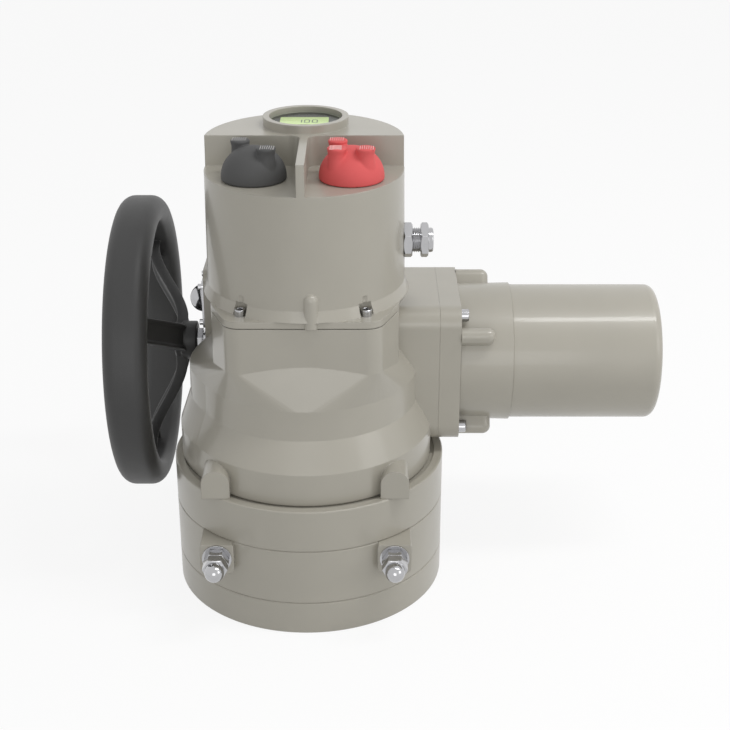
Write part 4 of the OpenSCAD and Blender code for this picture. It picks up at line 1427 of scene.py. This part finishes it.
@dataclass
class Display:
    """Display under the window, with painted emission on its panel and a generic reading in seven-segment digits.

    Attributes:
        x: middle of the panel.
        y: middle of the panel.
        z: underside of the panel.
        width: width of the panel.
        depth: depth of the panel.
        thick: thickness of the panel.
        corner: corner radius of the panel.
        ease: bevel of its upper edge.
        shade_sheet_y: middle of the window and of the dark sheet under it.
        shade_sheet_z: underside of the dark sheet.
        shade_sheet_r: radius of the dark sheet.
        shade_sheet_t: thickness of the dark sheet.
        overlap: how far the dark sheet reaches over the panel's edges.
        reading: the digits.
        digit_h: height of a digit.
        digit_w: width of a digit.
        pitch: distance from one digit to the next.
        shift_x: how far right of the panel's middle the reading stands.
        shift_y: how far in front of it.
        stroke: half the width of a bar.
        gap: distance of a bar's point from the corner, in half widths.
        ink_z: height of the bars' underside over the panel's.
        ink_t: thickness of the bars.
    """

    SEGMENTS: ClassVar[dict[str, str]] = {
        "0": "abcdef", "1": "bc", "2": "abged", "3": "abgcd", "4": "fgbc",
        "5": "afgcd", "6": "afgedc", "7": "abc", "8": "abcdefg", "9": "abcdfg",
    }
    SHADE_SHEET_STEPS: ClassVar[int] = 96
    TINY: ClassVar[float] = 1e-6

    x: float = -1.1 * MM
    y: float = 39.9 * MM
    z: float = 355.61 * MM
    width: float = 37 * MM
    depth: float = 23 * MM
    thick: float = 0.12 * MM
    corner: float = 1 * MM
    ease: float = 0.05 * MM
    shade_sheet_y: float = 38 * MM
    shade_sheet_z: float = 355.92 * MM
    shade_sheet_r: float = 27.0 * MM
    shade_sheet_t: float = 0.06 * MM
    overlap: float = 0.4 * MM
    reading: str = "100"
    digit_h: float = 8.4 * MM
    digit_w: float = 3.6 * MM
    pitch: float = 5.8 * MM
    shift_x: float = 2 * MM
    shift_y: float = 1 * MM
    stroke: float = 0.5 * MM
    gap: float = 1.3
    ink_z: float = 0.10 * MM
    ink_t: float = 0.10 * MM

    def panel(self) -> None:
        """Rounded panel with painted emission."""
        levels = ((0.0, 0.0), (self.thick - 0.8 * self.ease, 0.0), (self.thick, self.ease))
        rings = [self.rounded(inset, self.z + z) for z, inset in levels]
        dress(smooth(loft("display_panel", rings)), PANEL, "housing")

    def rounded(self, inset: float, z: float) -> list[Point]:
        """Rounded rectangle about the panel's centre.

        Args:
            inset: how far it stays inside the panel's outline.
            z: height.

        Returns:
            The outline.
        """
        across, along = self.width / 2 - inset - self.corner, self.depth / 2 - inset - self.corner
        ring = []
        for sx, sy, start in ((1, 1, 0), (-1, 1, 90), (-1, -1, 180), (1, -1, 270)):
            for angle in range(start, start + 91, 18):
                c, s = math.cos(math.radians(angle)), math.sin(math.radians(angle))
                ring.append((self.x + sx * across + self.corner * c, self.y + sy * along + self.corner * s, z))
        return ring

    def shade_sheet(self) -> None:
        """Dark sheet just under the window, open over the panel: painted shade over the ledge and the well round the
        panel.
        """
        outer = [(x, self.shade_sheet_y + y) for x, y, _ in circle(self.shade_sheet_r, 0.0, self.SHADE_SHEET_STEPS)]
        half_w, half_d = self.width / 2 - self.overlap, self.depth / 2 - self.overlap
        inner = []
        for c, s, _ in circle(1.0, 0.0, self.SHADE_SHEET_STEPS):
            reach = min(half_w / max(abs(c), self.TINY), half_d / max(abs(s), self.TINY))
            inner.append((self.x + reach * c, self.y + reach * s))
        low, high = self.shade_sheet_z, self.shade_sheet_z + self.shade_sheet_t
        rings = [
            [(x, y, z) for x, y in outline]
            for outline, z in ((inner, low), (outer, low), (outer, high), (inner, high), (inner, low))
        ]
        # Painted shade: a dark sheet where the well under the window lies in shade.
        dress(loft("display_mask", rings, caps=False), SURROUND, "housing")

    def bar(self, start: Vector, end: Vector) -> list[Vector]:
        """Outline of one bar of a digit, pointed at both ends.

        Args:
            start: corner of the digit that it comes from.
            end: corner that it goes to.

        Returns:
            Its six corners.
        """
        along = (end - start).normalized() * self.stroke
        side = Vector((-along.y, along.x))
        first, last = start + along * self.gap, end - along * self.gap
        return [first - along, first + side, last + side, last + along, last - side, first - side]

    def digits(self) -> None:
        """The reading, one bar for each lit segment."""
        w, h = self.digit_w / 2, self.digit_h / 2
        ends = {
            "a": ((-w, h), (w, h)), "b": ((w, 0), (w, h)), "c": ((w, -h), (w, 0)), "d": ((-w, -h), (w, -h)),
            "e": ((-w, -h), (-w, 0)), "f": ((-w, 0), (-w, h)), "g": ((-w, 0), (w, 0)),
        }
        low_z = self.z + self.ink_z
        first = self.x + self.shift_x - self.pitch * (len(self.reading) - 1) / 2
        work = bmesh.new()
        for index, figure in enumerate(self.reading):
            place = Vector((first + index * self.pitch, self.y - self.shift_y))
            for segment in self.SEGMENTS[figure]:
                outline = [place + corner for corner in self.bar(*map(Vector, ends[segment]))]
                low = [work.verts.new((*corner, low_z)) for corner in outline]
                high = [work.verts.new((*corner, low_z + self.ink_t)) for corner in outline]
                work.faces.new(high)
                work.faces.new(list(reversed(low)))
                for i, j in zip(range(6), (1, 2, 3, 4, 5, 0)):
                    work.faces.new((low[i], low[j], high[j], high[i]))
        dress(bmesh_object("display_digits", work), INK, "housing")

    def build(self) -> None:
        """Builds the panel, the dark sheet of painted shade round it and the reading."""
        self.panel()
        self.shade_sheet()
        self.digits()


@dataclass(frozen=True)
class Lamp:
    """Soft rectangular lamp.

    Attributes:
        name: the lamp's name.
        at: its place.
        target: the point that it faces.
        size: its width and height.
        power: its power in watts.
    """

    name: str
    at: Point
    target: Point
    size: tuple[float, float]
    power: float

    def build(self) -> None:
        """Adds the lamp to the scene."""
        data = bpy.data.lights.new(self.name, "AREA")
        data.shape, data.energy = "RECTANGLE", self.power
        data.size, data.size_y = self.size
        made = bpy.data.objects.new(self.name, data)
        made.location = self.at
        made.rotation_euler = (Vector(self.target) - Vector(self.at)).to_track_quat("-Z", "Y").to_euler()
        bpy.context.scene.collection.objects.link(made)


@dataclass
class Studio:
    """Camera, lights, world and floor.

    Attributes:
        camera_at: place of the camera.
        pitch: how far it looks down, in degrees.
        yaw: its turn about +Z, in radians.
        focal_px: focal length in pixels of the photograph.
        frame_px: width of the photograph in pixels.
        sensor: width of the sensor in millimetres.
        clip: nearest and farthest distance that it sees.
        surround: strength of the white surround on the object.
        floor_colour: colour of the floor in the light that it throws back.
        floor_half: half the width of the floor.
        floor_white: share of plain white in what the camera sees of the floor; the rest shows shadows.
        lamps: the lamps.
    """

    camera_at: Point = (0.04410, -0.99247, 0.61993)
    pitch: float = 24.17
    yaw: float = 0.0000948
    focal_px: float = 1411.16
    frame_px: float = 730.0
    sensor: float = 36.0
    clip: tuple[float, float] = (0.01, 20.0)
    surround: float = 0.56
    floor_colour: Colour = (0.66, 0.66, 0.65)
    floor_half: float = 3.0
    floor_white: float = 0.86
    lamps: tuple[Lamp, ...] = (
        Lamp("front", (0.0, -1.9, 0.55), (0.03, 0.0, 0.2), (1.0, 0.8), 4.6),
        Lamp("strip", (0.78, -0.18, 1.46), (0.745, 0.0, 0.2), (1.0, 0.16), 8.0),
        Lamp("side", (1.6, -0.8, 0.8), (0.03, 0.0, 0.2), (0.8, 0.8), 3.6),
    )

    def camera(self) -> None:
        """Camera at the photograph's place."""
        data = bpy.data.cameras.new("camera")
        data.sensor_width = self.sensor
        data.lens = self.focal_px * self.sensor / self.frame_px
        data.clip_start, data.clip_end = self.clip
        made = bpy.data.objects.new("camera", data)
        made.location = self.camera_at
        made.rotation_euler = (math.radians(90 - self.pitch), 0.0, self.yaw)
        bpy.context.scene.collection.objects.link(made)
        bpy.context.scene.camera = made

    @staticmethod
    def seen(graph: Graph) -> Socket:
        """1 for rays from the camera, a mirror or glass, else 0.

        Args:
            graph: the tree that asks.

        Returns:
            The socket.
        """
        camera, mirror, glass = (
            graph.node("ShaderNodeLightPath", out=f"Is {kind} Ray") for kind in ("Camera", "Glossy", "Transmission")
        )
        return camera + mirror + glass

    def world(self) -> None:
        """Even surround, white to the camera and in reflections."""
        world = bpy.data.worlds.new("studio")
        world.use_nodes = True
        world.node_tree.nodes.clear()
        graph = Graph(world.node_tree)
        soft = graph.node("ShaderNodeBackground", None, {"Color": WHITE, "Strength": self.surround})
        white = graph.node("ShaderNodeBackground", None, {"Color": WHITE, "Strength": 1.0})
        mixed = graph.node("ShaderNodeMixShader", None, {0: self.seen(graph), 1: soft, 2: white})
        graph.node("ShaderNodeOutputWorld", None, {"Surface": mixed})
        bpy.context.scene.world = world

    def floor(self) -> None:
        """Pale floor that shows white to the camera, with the object's soft shadow on it."""
        half = self.floor_half
        mesh = bpy.data.meshes.new("floor")
        mesh.from_pydata([(-half, -half, 0), (half, -half, 0), (half, half, 0), (-half, half, 0)], [], [(0, 1, 2, 3)])
        thing = mesh_object("floor", mesh)
        material = bpy.data.materials.new("pale_floor")
        material.use_nodes = True
        material.node_tree.nodes.clear()
        graph = Graph(material.node_tree)
        pale = graph.node("ShaderNodeBsdfDiffuse", None, {"Color": self.floor_colour})
        bright = graph.node("ShaderNodeBsdfDiffuse", None, {"Color": WHITE})
        white = graph.node("ShaderNodeEmission", None, {"Color": WHITE, "Strength": 1.0})
        shown = graph.node("ShaderNodeMixShader", None, {0: self.floor_white, 1: bright, 2: white})
        mixed = graph.node("ShaderNodeMixShader", None, {0: self.seen(graph), 1: pale, 2: shown})
        graph.node("ShaderNodeOutputMaterial", None, {"Surface": mixed})
        thing.data.materials.append(material)

    def build(self) -> None:
        """Sets up the whole studio."""
        bpy.context.scene.view_settings.view_transform = "Standard"
        self.camera()
        self.world()
        self.floor()
        for lamp in self.lamps:
            lamp.build()


KNOB_X = 34.6 * MM
TWO_LOBES = (133.0, 313.0)
THREE_LOBES = (133.0, 225.0, 313.0)


def main() -> None:
    """Builds the dressed actuator round the frame."""
    logging.basicConfig(level=logging.INFO, format="%(name)s: %(message)s")
    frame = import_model()
    Studio().build()
    Castings(frame["nodes"], frame["record"]).dress()
    Handwheel().build()
    Knob("selector_knob", -KNOB_X, "selector", "knob_black", KNOB_BLACK, PALE_TOP, TWO_LOBES).build()
    Knob("control_knob", KNOB_X, "control", "knob_red", KNOB_RED, PALE_RED_TOP, THREE_LOBES).build()
    Fasteners().build()
    CableGland().build()
    Display().build()


if __name__ == "__main__":
    main()
